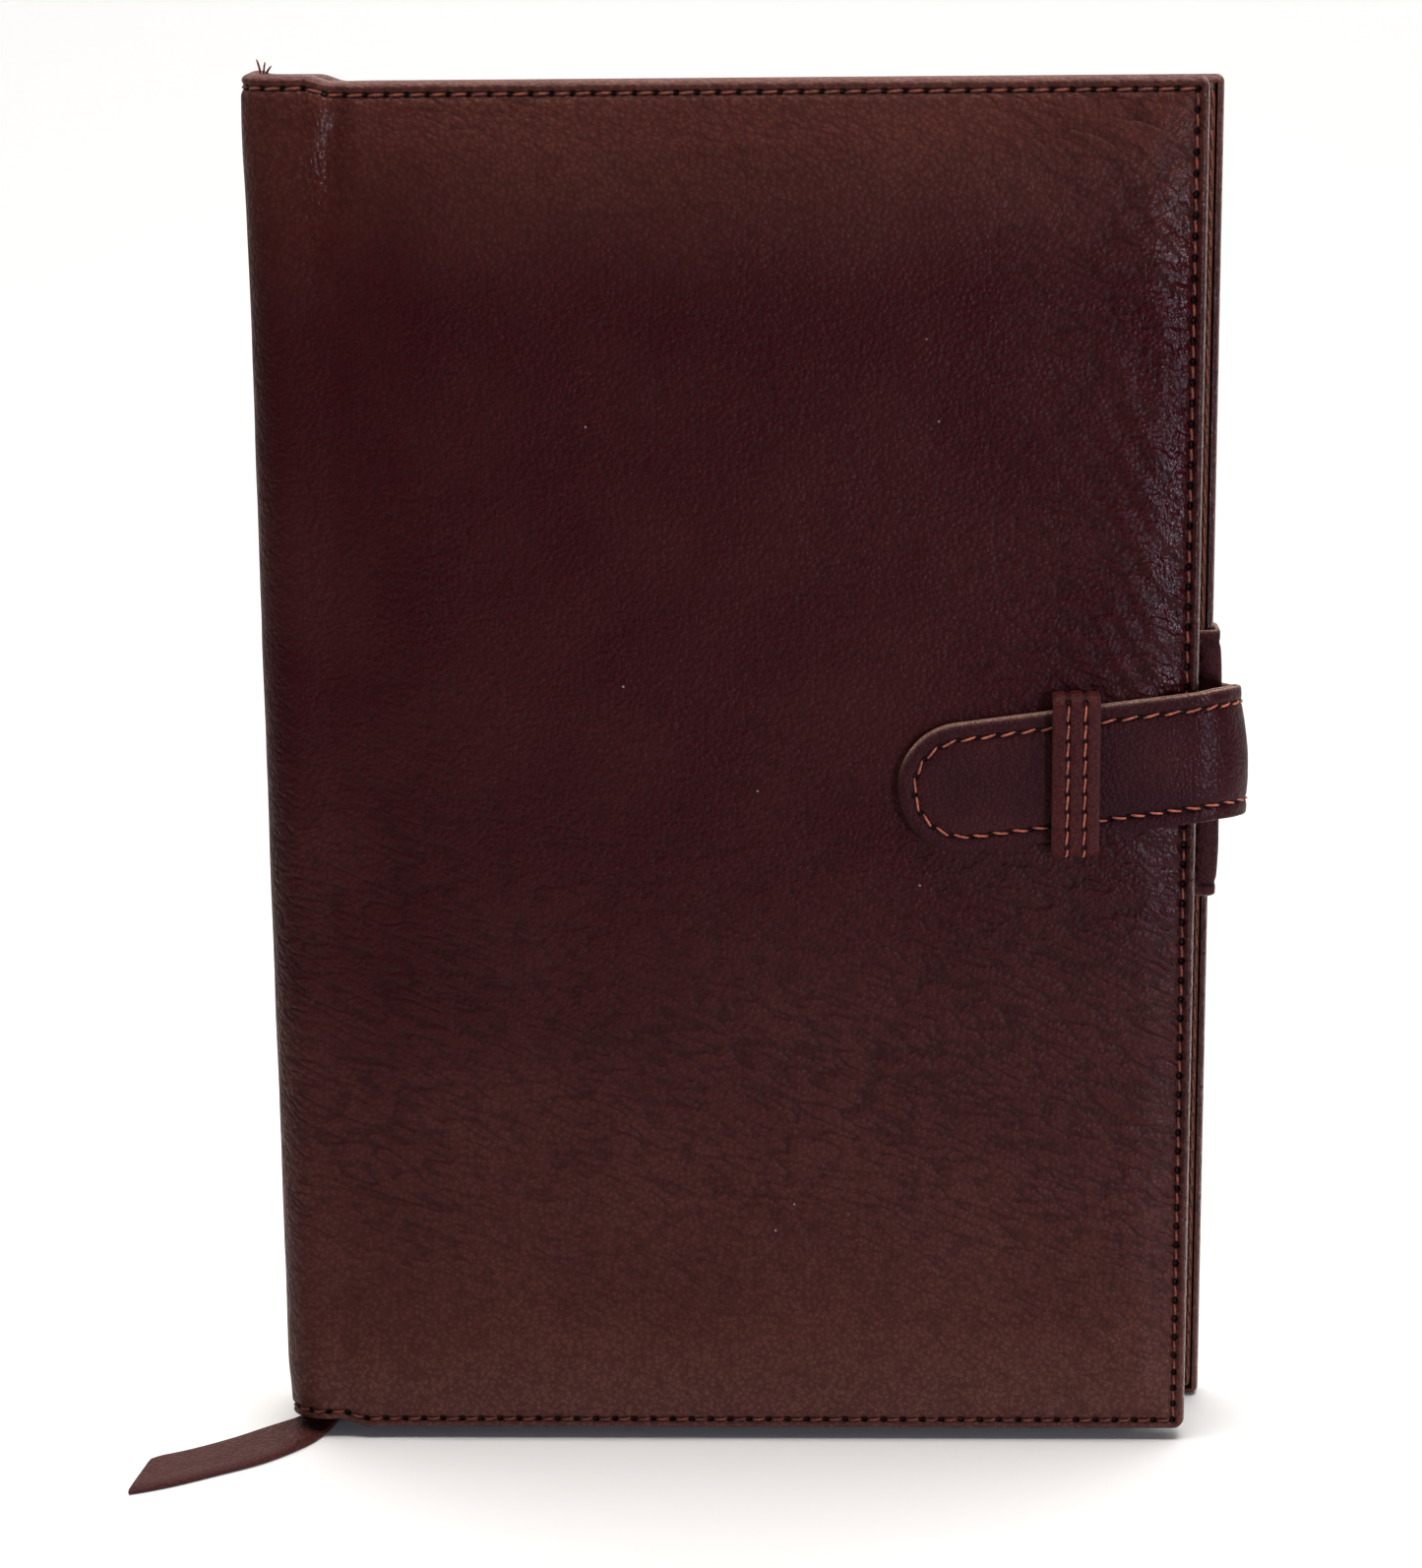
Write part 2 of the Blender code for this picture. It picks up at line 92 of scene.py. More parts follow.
# Hide
CORNER = {"front": 1.9, "back": 1.2}  # radius of the covers' outer corners
SPINE_TURN = 6.0  # radius in which the hide turns from spine to cover
SKIN = 1.0  # thickness of the hide
TURNED_EDGE = 1.25  # width of the rim where the hide is folded in
HEAD_RISE = 1.1  # the spine's head stands over the covers
TAIL_RISE = 1.2  # and its tail stands off the table
SEAM = 2.0  # stitch line's distance from the edge
PITCH = 3.2  # length of a stitch, hole to hole
BACK_DROP = 1.15  # the back cover's head stands lower than the front's
FRONT_LIFT = 1.6  # gap under the front cover's tail

# Radius of the thread in each seam
THREAD = {"cover": 0.21, "inside": 0.20, "strap": 0.185, "keeper": 0.175, "anchor": 0.24, "loose": 0.16}

rng = np.random.default_rng(11)


# -------------------- small maths


def smooth(x, a, b):
    """0 before a, 1 after b, with a soft turn at both."""
    t = np.clip((np.asarray(x, float) - a) / (b - a), 0.0, 1.0)
    return t * t * (3.0 - 2.0 * t)


def bell(x, centre, width):
    """1 at the centre, falling off to both sides."""
    return np.exp(-(((np.asarray(x, float) - centre) / width) ** 2))


def unit(vectors):
    """The same directions, each of length 1."""
    return vectors / np.linalg.norm(vectors, axis=-1, keepdims=True)


def lengths(points):
    """Length along a line up to each of its points."""
    return np.concatenate([[0], np.cumsum(np.linalg.norm(np.diff(points, axis=0), axis=1))])


def merged(*parts):
    """All their positions in order, without repeats."""
    return np.unique(np.concatenate(parts))


NOISE_SIZE = 64
NOISE_TABLES = [np.random.default_rng(70 + i).random((NOISE_SIZE, NOISE_SIZE)) for i in range(6)]


def noise(x, y, table=0):
    """Soft lattice noise between -1 and 1, one cell to each unit."""
    values = NOISE_TABLES[table]
    xi, yi = np.floor(x).astype(int), np.floor(y).astype(int)
    fx, fy = x - xi, y - yi
    fx, fy = fx * fx * (3 - 2 * fx), fy * fy * (3 - 2 * fy)
    x0, x1 = xi % NOISE_SIZE, (xi + 1) % NOISE_SIZE
    y0, y1 = yi % NOISE_SIZE, (yi + 1) % NOISE_SIZE
    low = values[x0, y0] * (1 - fx) + values[x1, y0] * fx
    high = values[x0, y1] * (1 - fx) + values[x1, y1] * fx
    return (low * (1 - fy) + high * fy) * 2 - 1


def spaced(*stretches):
    """Positions from stretches of (start, end, step), without repeats."""
    found = [np.linspace(a, b, max(2, int(round((b - a) / step)) + 1)) for a, b, step in stretches]
    return np.unique(np.round(np.concatenate(found), 4))


# -------------------- mesh building


def finish_mesh(name, points, faces, material, sharp=50):
    """An object from points in millimetres."""
    points = np.asarray(points, float) * MM
    mesh = bpy.data.meshes.new(name)
    mesh.from_pydata(points.tolist(), [], faces)
    mesh.update()
    mesh.shade_smooth()
    mesh.set_sharp_from_angle(angle=math.radians(sharp))
    mesh.materials.append(material)
    piece = bpy.data.objects.new(name, mesh)
    bpy.context.collection.objects.link(piece)
    keep = mesh.attributes.new("rest_place", "FLOAT_VECTOR", "POINT")
    keep.data.foreach_set("vector", points.ravel().astype(np.float32))
    return piece


def paint(piece, name, values):
    """A number for each point, for the material to read."""
    layer = piece.data.attributes.new(name, "FLOAT", "POINT")
    layer.data.foreach_set("value", np.asarray(values, np.float32).ravel())


def grid_faces(ids, flip=False):
    """Quads between the neighbours in a grid of points."""
    faces = np.stack([ids[:-1, :-1], ids[1:, :-1], ids[1:, 1:], ids[:-1, 1:]], -1).reshape(-1, 4)
    return faces[:, [0, 3, 2, 1]].tolist() if flip else faces.tolist()


def tube_faces(rings):
    """Faces round a tube of rings, closed at both ends."""
    around = grid_faces(np.concatenate([rings, rings[:, :1]], 1), flip=True)
    return around + [rings[0, ::-1].tolist(), rings[-1].tolist()]


def round_corners(U, V, radius, rims):
    """Moves grid points of square corners onto round ones; returns U, V and the rim distance."""
    u0, u1, v0, v1 = U.min(), U.max(), V.min(), V.max()
    far = np.full_like(U, 1e6)
    du0 = U - u0 if "u0" in rims else far
    du1 = u1 - U if "u1" in rims else far
    dv0 = V - v0 if "v0" in rims else far
    dv1 = v1 - V if "v1" in rims else far
    D = np.minimum(np.minimum(du0, du1), np.minimum(dv0, dv1))
    U, V = U.copy(), V.copy()
    for du, dv, cu, cv, su, sv in ((du0, dv0, u0, v0, -1, -1), (du0, dv1, u0, v1, -1, 1),
                                   (du1, dv0, u1, v0, 1, -1), (du1, dv1, u1, v1, 1, 1)):
        here = (du < radius) & (dv < radius)
        if not here.any():
            continue
        a = 1 - du[here] / radius
        b = 1 - dv[here] / radius
        x = a * np.sqrt(1 - b * b / 2)
        y = b * np.sqrt(1 - a * a / 2)
        D[here] = radius * (1 - np.hypot(x, y))
        U[here] = cu - su * radius + su * radius * x
        V[here] = cv - sv * radius + sv * radius * y
    return U, V, np.maximum(D, 0.0)


RIM_POWER = 2.2  # 2 would be a half circle; a little more is squarer
RIM_FADE = 1.1  # depth in which a rim's lighter tone, wear with a painted highlight, fades


def rim_profile(D, radius):
    """Thickness share near a rounded rim: 0 at the edge, 1 from the radius inwards."""
    t = np.clip(D / radius, 0.0, 1.0)
    return np.power(np.clip(1 - (1 - t) ** RIM_POWER, 0, 1), 1 / RIM_POWER)


def sheet(name, us, vs, place, top, bottom, material, rims=("u0", "u1", "v0", "v1"),
          corner=1.0, rim=0.5, sharp=50, extra=None):
    """A closed sheet over a patch: rounded at its rims, capped square at its other edges.

    place turns patch places and heights into points, top and bottom give the heights of the
    two faces, and extra gives numbers for the material, with "rub" for how light the rim is, from wear and a
    painted highlight.
    """
    U, V = np.meshgrid(us, vs, indexing="ij")
    U, V, D = round_corners(U, V, corner, rims)
    T, B = top(U, V, D), bottom(U, V, D)
    middle, half = (T + B) / 2, (T - B) / 2
    share = rim_profile(D, rim)
    T, B = middle + half * share, middle - half * share
    upper = place(U, V, T)
    lower = place(U, V, B)
    top_id = np.arange(U.size).reshape(U.shape)
    edges = (("u0", np.s_[0], False), ("u1", np.s_[-1], True),
             ("v0", np.s_[:, 0], True), ("v1", np.s_[:, -1], False))
    free = np.ones_like(U, bool)
    for side, edge, _ in edges:
        free[edge] &= side not in rims
    low_id = top_id.copy()
    low_id[free] = U.size + np.arange(free.sum())
    points = np.concatenate([upper.reshape(-1, 3), lower[free]])
    faces = grid_faces(top_id) + grid_faces(low_id, flip=True)
    for side, edge, flip in edges:
        if side in rims:
            continue
        high, low = top_id[edge], low_id[edge]
        for ring in zip(high, high[1:], low[1:], low):
            ring = [int(p) for n, p in enumerate(ring) if p != ring[n - 1]]
            if len(set(ring)) > 2:
                faces.append(ring[::-1] if flip else ring)
    piece = finish_mesh(name, points, faces, material, sharp)
    fix_normals(piece)
    found = extra(U, V, D) if extra else {}
    found["rim"] = np.exp(-D / RIM_FADE) * found.pop("rub", 1.0)
    for key, values in found.items():
        paint(piece, key, np.concatenate([values.ravel(), values[free]]))
    return piece


def fix_normals(piece):
    """All faces out."""
    builder = bmesh.new()
    builder.from_mesh(piece.data)
    bmesh.ops.recalc_face_normals(builder, faces=builder.faces)
    builder.to_mesh(piece.data)
    builder.free()


THREAD_SIDES = 7
THREAD_TWIST = 2.0
THREAD_LOBES = 0.16  # depth of the groove between its two plies
THREAD_END = 0.55  # a stitch is thinner where it goes into its hole


def tubes(name, runs, radius, material):
    """Twisted thread along each run of points; a run's ends are closed."""
    points, faces = [], []
    a = 2 * math.pi * np.arange(THREAD_SIDES) / THREAD_SIDES
    for run in runs:
        run = np.asarray(run, float)
        along = unit(np.gradient(run, axis=0))
        x = unit(np.cross(along, (0.31, -0.83, 0.47)))
        y = np.cross(along, x)
        size = np.full((len(run), 1), radius)
        size[[0, -1]] *= THREAD_END
        r = size * (1 + THREAD_LOBES * np.cos(2 * a - THREAD_TWIST * lengths(run)[:, None] / radius))
        ring = run[:, None] + (x[:, None] * (r * np.cos(a))[..., None]
                               + y[:, None] * (r * np.sin(a))[..., None])
        faces += tube_faces(len(points) + np.arange(r.size).reshape(r.shape))
        points += ring.reshape(-1, 3).tolist()
    return finish_mesh(name, points, faces, material, sharp=80)


class Route:
    """A line in a plane with rounded corners, read by its length."""

    def __init__(self, corners, radius, side):
        corners = [np.array(c, float) for c in corners]
        points = [corners[0]]
        for before, corner, after in zip(corners, corners[1:], corners[2:]):
            a, b = unit(before - corner), unit(after - corner)
            half = math.acos(np.clip(a @ b, -1, 1)) / 2
            reach = radius / math.tan(half)
            centre = corner + unit(a + b) * radius / math.sin(half)
            start, end = corner + a * reach - centre, corner + b * reach - centre
            sweep = math.atan2(start[0] * end[1] - start[1] * end[0], start @ end)
            for t in np.linspace(0, sweep, 25):
                c, s = math.cos(t), math.sin(t)
                points.append(centre + [start[0] * c - start[1] * s, start[0] * s + start[1] * c])
        points = np.array([*points, corners[-1]])
        new = np.diff(lengths(points), prepend=-1) > 1e-6
        self.points = points[new]
        self.at = lengths(self.points)
        self.length = self.at[-1]
        along = unit(np.diff(self.points, axis=0))
        normals = side * np.stack([along[:, 1], -along[:, 0]], -1)
        self.normals = np.concatenate([normals[:1], normals, normals[-1:]])
        self.normal_at = np.concatenate([[0], (self.at[1:] + self.at[:-1]) / 2, [self.length]])

    def frame(self, u):
        """Point and unit normal at length u."""
        p = [np.interp(u, self.at, self.points[:, i]) for i in (0, 1)]
        n = [np.interp(u, self.normal_at, self.normals[:, i]) for i in (0, 1)]
        size = np.hypot(*n)
        return p[0], p[1], n[0] / size, n[1] / size


# -------------------- materials


class Nodes:
    """Short names for the nodes that the materials use."""

    def __init__(self, name):
        self.material = bpy.data.materials.new(name)
        self.material.use_nodes = True
        self.tree = self.material.node_tree
        self.shader = self.tree.nodes["Principled BSDF"]

    def node(self, kind, output, *inputs, **settings):
        """One output of a new node, with inputs as pairs of a socket and its value or source."""
        made = self.tree.nodes.new(f"ShaderNode{kind}")
        for key, value in settings.items():
            setattr(made, key, value)
        for socket, source in inputs:
            self.link(source, made.inputs[socket])
        return made.outputs[output]

    def link(self, source, target):
        if isinstance(source, (int, float)):
            target.default_value = source
        elif isinstance(source, (tuple, list)):
            opaque = len(source) == 3 and len(target.default_value) == 4
            target.default_value = (*source, 1.0) if opaque else source
        else:
            self.tree.links.new(source, target)

    def set(self, **values):
        """Sockets of the shader, by name with _ for a space."""
        for key, value in values.items():
            self.link(value, self.shader.inputs[key.replace("_", " ")])

    def math(self, operation, a, b=0.0, clamp=False):
        return self.node("Math", 0, (0, a), (1, b), operation=operation, use_clamp=clamp)

    def plus(self, a, b, clamp=False):
        return self.math("ADD", a, b, clamp)

    def minus(self, a, b):
        return self.math("SUBTRACT", a, b)

    def times(self, a, b, clamp=False):
        return self.math("MULTIPLY", a, b, clamp)

    def mix(self, share, a, b):
        return self.node("Mix", 2, ("Factor", share), (6, a), (7, b), data_type="RGBA")

    def spread(self, value, low, high, to_low=0.0, to_high=1.0):
        inputs = enumerate((value, low, high, to_low, to_high))
        return self.node("MapRange", 0, *inputs, interpolation_type="SMOOTHSTEP")

    def place(self):
        return self.node("Attribute", "Vector", attribute_name="rest_place")

    def number(self, name):
        return self.node("Attribute", "Fac", attribute_name=name)

    def turned(self, vector, angles, scale):
        """The place in axes turned by the angles and stretched by the scale."""
        angles = [math.radians(a) for a in angles]
        return self.node("Mapping", 0, ("Vector", vector), ("Rotation", angles), ("Scale", scale),
                         vector_type="TEXTURE")

    def noise(self, vector, scale, detail=2.0):
        return self.node("TexNoise", "Fac", ("Vector", vector), ("Scale", scale), ("Detail", detail))

    def cells(self, vector, scale):
        return self.node("TexVoronoi", "Distance", ("Vector", vector), ("Scale", scale))

    def bump(self, height, distance):
        return self.node("Bump", 0, ("Distance", distance), ("Height", height))


BUMP_DEPTH = 0.00017  # metres
HOLE_SHADE = (0.0022, 0.0014, 0.0014)
SPECK_TONE = (0.42, 0.38, 0.36)
SPECKS = 100.0  # light specks are drawn in cells, this many to the metre


def scaled(colour, share, lift=0.0):
    return [c * share + lift for c in colour]


def creases(n, p, patch, grain, milled):
    """1 on the pebbles, less in the creases, which run where a drawn-out noise passes its middle."""
    drawn = n.noise(n.turned(p, (0, 24, 0), (3.3, 1.0, 1.0)), 560.0 * grain, 0.6)
    off = n.math("ABSOLUTE", n.minus(drawn, 0.5))
    depth = n.times(n.spread(patch, 0.34, 0.60, 0.55, 1.0), milled)
    return n.minus(1.0, n.times(n.spread(off, 0.0, 0.15, 1.0, 0.0), depth))


def needle_holes(n, pitch, darkness):
    """Painted shade in the holes along a seam, and along the groove line that joins them."""
    off = n.number("seam_d")
    ring = n.minus(n.math("FRACT", n.plus(n.number("seam_s"), 0.5)), 0.5)
    ring = n.times(ring, pitch * 0.8)
    away = n.math("SQRT", n.plus(n.times(ring, ring), n.times(off, off)))
    return (n.spread(away, 0.20, 0.58, darkness, 0.0),
            n.spread(n.math("ABSOLUTE", off), 0.05, 0.8, 0.5, 0.0))


def leather(name, deep, brown, worn_and_highlight_tone, dye=False, pitch=None, grain=1.0, roughness=(0.34, 0.52),
            rim_wear_and_highlight=0.5, rim_narrow=2.0, gloss=0.16, polish=False, milled=0.5, hole_dark=0.95):
    """Milled leather: pebbles, short creases, uneven dyed tone, lighter rims and needle holes.
    The creases, the hollows between the pebbles and the needle holes are darkened as painted
    shade, and the rims are lighter with wear and a painted highlight.

    It reads these numbers from the mesh: rim (1 at an edge), and where they are asked for
    dye (share of brown, from the dyed tone and painted light), polish (how
    smooth the wear has left it), milled (how deep its creases are), seam_s (stitch count along
    the seam) and seam_d (distance from the seam).
    """
    n = Nodes(name)
    p = n.place()
    patch = n.noise(p, 300.0, 1.0)
    fine = n.noise(p, 3600.0 * grain, 1.0)
    milled = n.number("milled") if milled is True else milled
    crease = creases(n, p, patch, grain, milled)
    pebble = n.times(n.cells(p, 1250.0 * grain), 0.8)
    grainy = n.plus(pebble, n.times(fine, 0.45))

    # colour: uneven brown over the deep tone, from the dyed tone and, where asked, painted light; darker
    # between the pebbles and in the creases as painted shade
    share = n.spread(n.noise(p, 45.0, 1.0), 0.35, 0.70, 0.0, 0.16)
    if dye:
        share = n.plus(n.times(n.number("dye"), 0.8), share, True)
    colour = n.mix(share, deep, brown)
    if dye:
        # past 1 the brown turns paler: painted light, such as the pale floor's reflection on the hide's tail
        colour = n.mix(n.spread(n.number("dye"), 1.0, 2.0), colour, scaled(brown, 1.25, 0.030))
    colour = n.mix(n.spread(patch, 0.38, 0.68, 0.0, 0.12), colour, scaled(deep, 0.6))
    # darker between the pebbles: painted shade in the grain's hollows
    colour = n.mix(n.spread(grainy, 0.32, 0.80, 0.10, 0.48), colour, scaled(deep, 0.45))
    colour = n.mix(n.spread(fine, 0.44, 0.64, 0.0, 0.40), colour, scaled(deep, 2.4, 0.004))
    # darker in the creases: painted shade
    colour = n.mix(n.spread(crease, 0.0, 1.0, 0.42, 0.0), colour, scaled(deep, 0.3))

    # rims lighter with wear and a painted highlight, and a few light specks
    edge_wear_and_highlight = n.times(n.math("POWER", n.number("rim"), rim_narrow), n.spread(fine, 0.35, 0.60, 0.25, 1.0))
    colour = n.mix(n.times(edge_wear_and_highlight, rim_wear_and_highlight, True), colour, worn_and_highlight_tone)
    colour = n.mix(n.spread(n.cells(p, SPECKS), 0.011, 0.026, 0.6, 0.0), colour, SPECK_TONE)

    height = n.minus(n.times(crease, 0.95), grainy)
    if pitch:
        hole, line = needle_holes(n, pitch, hole_dark)
        # needle holes and the seam's line are darkened: painted shade in the holes and the groove
        colour = n.mix(hole, n.mix(line, colour, scaled(deep, 0.35)), HOLE_SHADE)
        height = n.minus(height, n.times(hole, 2.5))
    rough = n.plus(n.times(grainy, 0.6), n.times(patch, 0.5))
    rough = n.spread(rough, 0.25, 0.90, *roughness)
    if polish:
        # smooth patches keep upright glints in place of the grain
        polish = n.number("polish")
        glint = n.noise(n.turned(p, (0, 78, 0), (3.0, 1.0, 1.0)), 1700.0, 1.0)
        height = n.times(height, n.spread(polish, 0.0, 1.0, 1.0, 0.6))
        height = n.plus(height, n.times(n.times(glint, polish), 1.1))
        rough = n.minus(rough, n.times(polish, 0.25))
    n.set(Base_Color=colour, Roughness=rough, Normal=n.bump(height, BUMP_DEPTH))
    n.set(Specular_IOR_Level=gloss)
    return n.material


def waxed(name, colour, dark):
    """Waxed two-ply thread."""
    n = Nodes(name)
    p = n.place()
    tone = n.noise(p, 900.0)
    base = n.mix(n.spread(tone, 0.3, 0.7), dark, colour)
    fibre = n.noise(n.turned(p, (35, 20, 0), (7, 1, 1)), 4200.0)
    base = n.mix(n.spread(fibre, 0.4, 0.7, 0.0, 0.4), base, scaled(colour, 1.7))
    n.set(Base_Color=base, Normal=n.bump(fibre, 0.00005), Roughness=n.spread(tone, 0.3, 0.7, 0.5, 0.7))
    n.set(Sheen_Weight=0.15, Specular_IOR_Level=0.45)
    return n.material


def fibres(name, light, dark, scale, depth, roughness, drawn=False):
    """Paper, card, board and foam: fibres with uneven tone; drawn is for pieces made in this script."""
    n = Nodes(name)
    p = n.place() if drawn else n.node("TexCoord", "Object")
    tone = n.noise(p, scale, 4.0)
    fine = n.noise(p, scale * 9)
    base = n.mix(n.spread(tone, 0.3, 0.7), dark, light)
    base = n.mix(n.spread(fine, 0.45, 0.75, 0.0, 0.25), base, dark)
    n.set(Base_Color=base, Roughness=n.spread(fine, 0.3, 0.7, *roughness), Normal=n.bump(fine, depth))
    n.set(Specular_IOR_Level=0.35)
    return n.material


HIDE = leather("hide_look", (0.038, 0.0009, 0.0034), (0.126, 0.045, 0.030), (0.42, 0.31, 0.26),
               dye=True, pitch=PITCH, polish=True, milled=True)
STRAP = leather("strap_look", (0.027, 0.0036, 0.0078), (0.125, 0.027, 0.022), (0.42, 0.27, 0.21),
                dye=True, pitch=3.05, grain=1.35, rim_wear_and_highlight=1.1, rim_narrow=6.0, gloss=0.12,
                polish=True, milled=0.3, hole_dark=0.6)
RIBBON = leather("ribbon_look", (0.080, 0.021, 0.018), (0.110, 0.036, 0.028), (0.28, 0.16, 0.13),
                 grain=1.5, rim_wear_and_highlight=0.6)
LINING = leather("lining_look", (0.095, 0.036, 0.022), (0.14, 0.060, 0.036), (0.24, 0.13, 0.085),
                 grain=1.6, roughness=(0.50, 0.70), rim_wear_and_highlight=0.3)
SEAM_THREAD = waxed("seam_thread", (0.23, 0.056, 0.027), (0.090, 0.019, 0.012))
STRAP_THREAD = waxed("strap_thread_look", (0.46, 0.130, 0.070), (0.19, 0.045, 0.026))
PAPER = fibres("page_look", (0.80, 0.74, 0.62), (0.76, 0.70, 0.58), 1100.0, 0.00002, (0.75, 0.9), True)
CARD = fibres("card_look", (0.035, 0.022, 0.018), (0.018, 0.011, 0.010), 600.0, 0.00003, (0.55, 0.75))
BOARD = fibres("board_look", (0.36, 0.29, 0.20), (0.22, 0.17, 0.11), 500.0, 0.00006, (0.8, 0.95))
FOAM = fibres("foam_look", (0.62, 0.60, 0.54), (0.48, 0.46, 0.40), 1500.0, 0.0002, (0.85, 0.98), True)


# -------------------- hide

FLAT_SPINE = (BACK_OUT - FRONT_OUT) / 2 - SPINE_TURN  # from mid-spine to the start of the turn
TURN_END = FLAT_SPINE + SPINE_TURN * math.pi / 2
SPINE_INNER = 3.2  # depth of the lining's face behind the spine
COVER_INNER = 5.0  # and behind the covers
FOLD_START = 1.0  # where the hide starts to bend, from mid-spine
FOLD_END_X = -61.0  # and where it ends
CREASE_X = -64.7  # foot of the crease between spine and panel
CREASE_LEAN = 4.7  # and how far it runs inwards up to the head
CROWN = 0.85  # rise of the padding inside the seams
FORE_STITCHES = 68

# out is the direction in which the cover faces, y its face and x1 its fore edge
SIDES = {"front": SimpleNamespace(out=-1.0, y=FRONT_OUT, x1=FORE_X, body="front_cover"),
         "back": SimpleNamespace(out=1.0, y=BACK_OUT, x1=BACK_FORE_X, body="back_cover")}
for side in SIDES.values():
    side.route = Route([(SPINE_X, SPINE_MID_Y), (SPINE_X, side.y), (side.x1, side.y)],
                       SPINE_TURN, -side.out)
    side.u1 = side.route.length
    side.to_x = side.x1 - side.u1
    side.fore_pitch = (HEIGHT - 2 * SEAM) / FORE_STITCHES
    side.end_count = round((side.u1 - SEAM) / PITCH)
    side.end_pitch = (side.u1 - SEAM) / side.end_count


def head_share(x):
    """1 over the spine, 0 on the panel, for what stands above the covers at the head."""
    return 1 - smooth(x, -64.5, -60.0)


def hide_place(side):
    """Turns (length from mid-spine, height, distance out) into x, y, z."""
    def place(U, V, H):
        x, y, nx, ny = side.route.frame(U)
        z = V + HEAD_RISE * head_share(x) * smooth(V, HEIGHT - 28, HEIGHT)
        z = z - BACK_DROP * smooth(y, SPINE_MID_Y, BACK_OUT) * smooth(V, HEIGHT - 60, HEIGHT)
        lift = TAIL_RISE * (1 - smooth(x, -66.5, -60.5))
        lift = lift + FRONT_LIFT * (1 - smooth(y, FRONT_OUT, SPINE_MID_Y))
        z = z + lift * (1 - smooth(V, 0, 16))
        lean = -0.45 * bell(V, HEIGHT - 3, 9) * (1 - smooth(x, SPINE_X, SPINE_X + 7))
        return np.stack([x + nx * H + lean, y + ny * H, z], -1)
    return place


def seam_count(side, U, V):
    """Stitch count along the seam, from whichever edge is nearest."""
    du, dv0, dv1 = side.u1 - U, V, HEIGHT - V
    ends = (side.u1 - SEAM - U) / side.end_pitch
    fore = (V - SEAM) / side.fore_pitch
    return np.where((du < dv0) & (du < dv1), fore, np.where(dv0 < dv1, -ends, FORE_STITCHES + ends))


def inner_depth(U):
    """Depth of the hide's turned edge and of the lining's face."""
    return SPINE_INNER + (COVER_INNER - SPINE_INNER) * smooth(U, FLAT_SPINE, TURN_END)


def seam_relief(D, count):
    """The stitched groove with its holes, the bead outside it and the scallops inside it."""
    d = D - SEAM
    phase = count - np.round(count)
    high = -0.30 * bell(d, 0, 0.60) - 0.26 * bell(d, 0, 0.55) * bell(phase * PITCH, 0, 0.62)
    high += 0.10 * bell(d, -1.25, 0.65)
    between = 0.5 * np.cos(2 * np.pi * (phase - 0.5))
    return high + between * (0.20 * bell(d, 0.9, 0.85) + 0.05 * bell(d, 3.0, 1.8))


def padding_relief(side, U, V, D):
    """The padding's crown inside the seams, and its soft unevenness."""
    x, w, d = U + side.to_x, U * -side.out, D - SEAM
    to_fore, to_ends = side.u1 - U - SEAM, np.minimum(V, HEIGHT - V) - SEAM
    high = 0.20 * smooth(d, 0.1, 1.7) + 0.30 * smooth(d, 0.4, 11.0)
    high += CROWN * smooth(to_fore, 0.1, 6.5) * smooth(to_ends, 0.2, 10.0) * smooth(x, -63, -45)
    high += smooth(D, 2.0, 16.0) * (0.22 * noise(w / 31, V / 31, 4) + 0.09 * noise(w / 12, V / 12, 5))
    return high + 0.040 * smooth(D, 2.6, 6.0) * noise(w / 4.6, V / 4.6, 0)


def fore_relief(side, U, V, D, count):
    """Puckers at the fore seam's stitches, diagonal ripples beside it, and short folds."""
    x, d = U + side.to_x, D - SEAM
    on_fore = smooth(side.u1 - U, 9.0, 4.0)
    pucker = np.cos(2 * np.pi * (count + 0.10 * d - 0.5)) * (0.6 + 0.4 * noise(V / 7, U / 7, 2))
    high = on_fore * 0.07 * pucker * smooth(d, 0.3, 1.6) * (1 - smooth(d, 3.0, 8.0))
    zone = smooth(x, 52, 67) * smooth(d, 0.3, 3.0) * smooth(V, 78, 118) * (1 - smooth(V, 196, 216))
    across = (V * 0.56 + U * 0.83) / 5.2 + 0.9 * noise(U / 15, V / 17, 1)
    high += zone * (0.17 * np.sin(2 * np.pi * across) + 0.06 * np.sin(4.3 * np.pi * across + 1.0))
    fold = noise((V * 0.82 + U * 0.57) / 2.1, (U * 0.82 - V * 0.57) / 11.0, 2)
    return high - 0.16 * smooth(x, 30, 62) * smooth(d, 0.5, 3.0) * smooth(fold, 0.30, 0.80)


def crease_relief(side, U, V):
    """The crease between spine and panel, deepest at the head, with a fold beside it."""
    x = U + side.to_x
    centre = CREASE_X + CREASE_LEAN * smooth(V, 60, 215)
    depth = 0.12 + 0.95 * smooth(V, 192, 215) + 0.28 * (1 - smooth(V, 4, 60))
    high = 0.25 * depth * bell(x, centre + 4.2, 2.4)
    high -= depth * bell(x, centre + 1.3 * noise(V / 7, x / 30, 3), 1.9)
    return high - 0.22 * smooth(V, 182, 206) * bell(x, centre - 4.6 + 0.05 * (HEIGHT - V), 1.2)


def hide_relief(side):
    """Height of the leather over its flat face."""
    def relief(U, V, D):
        count = seam_count(side, U, V)
        return (seam_relief(D, count) + padding_relief(side, U, V, D)
                + fore_relief(side, U, V, D, count) + crease_relief(side, U, V))
    return relief


def hide_under(relief):
    """Underside: a thick turned edge round a thin skin."""
    def under(U, V, D):
        top = relief(U, V, D)
        skin = SKIN - 0.25 * bell(D - SEAM, 0, 1.0)
        return top - np.where(D < TURNED_EDGE, inner_depth(U) + top, skin)
    return under


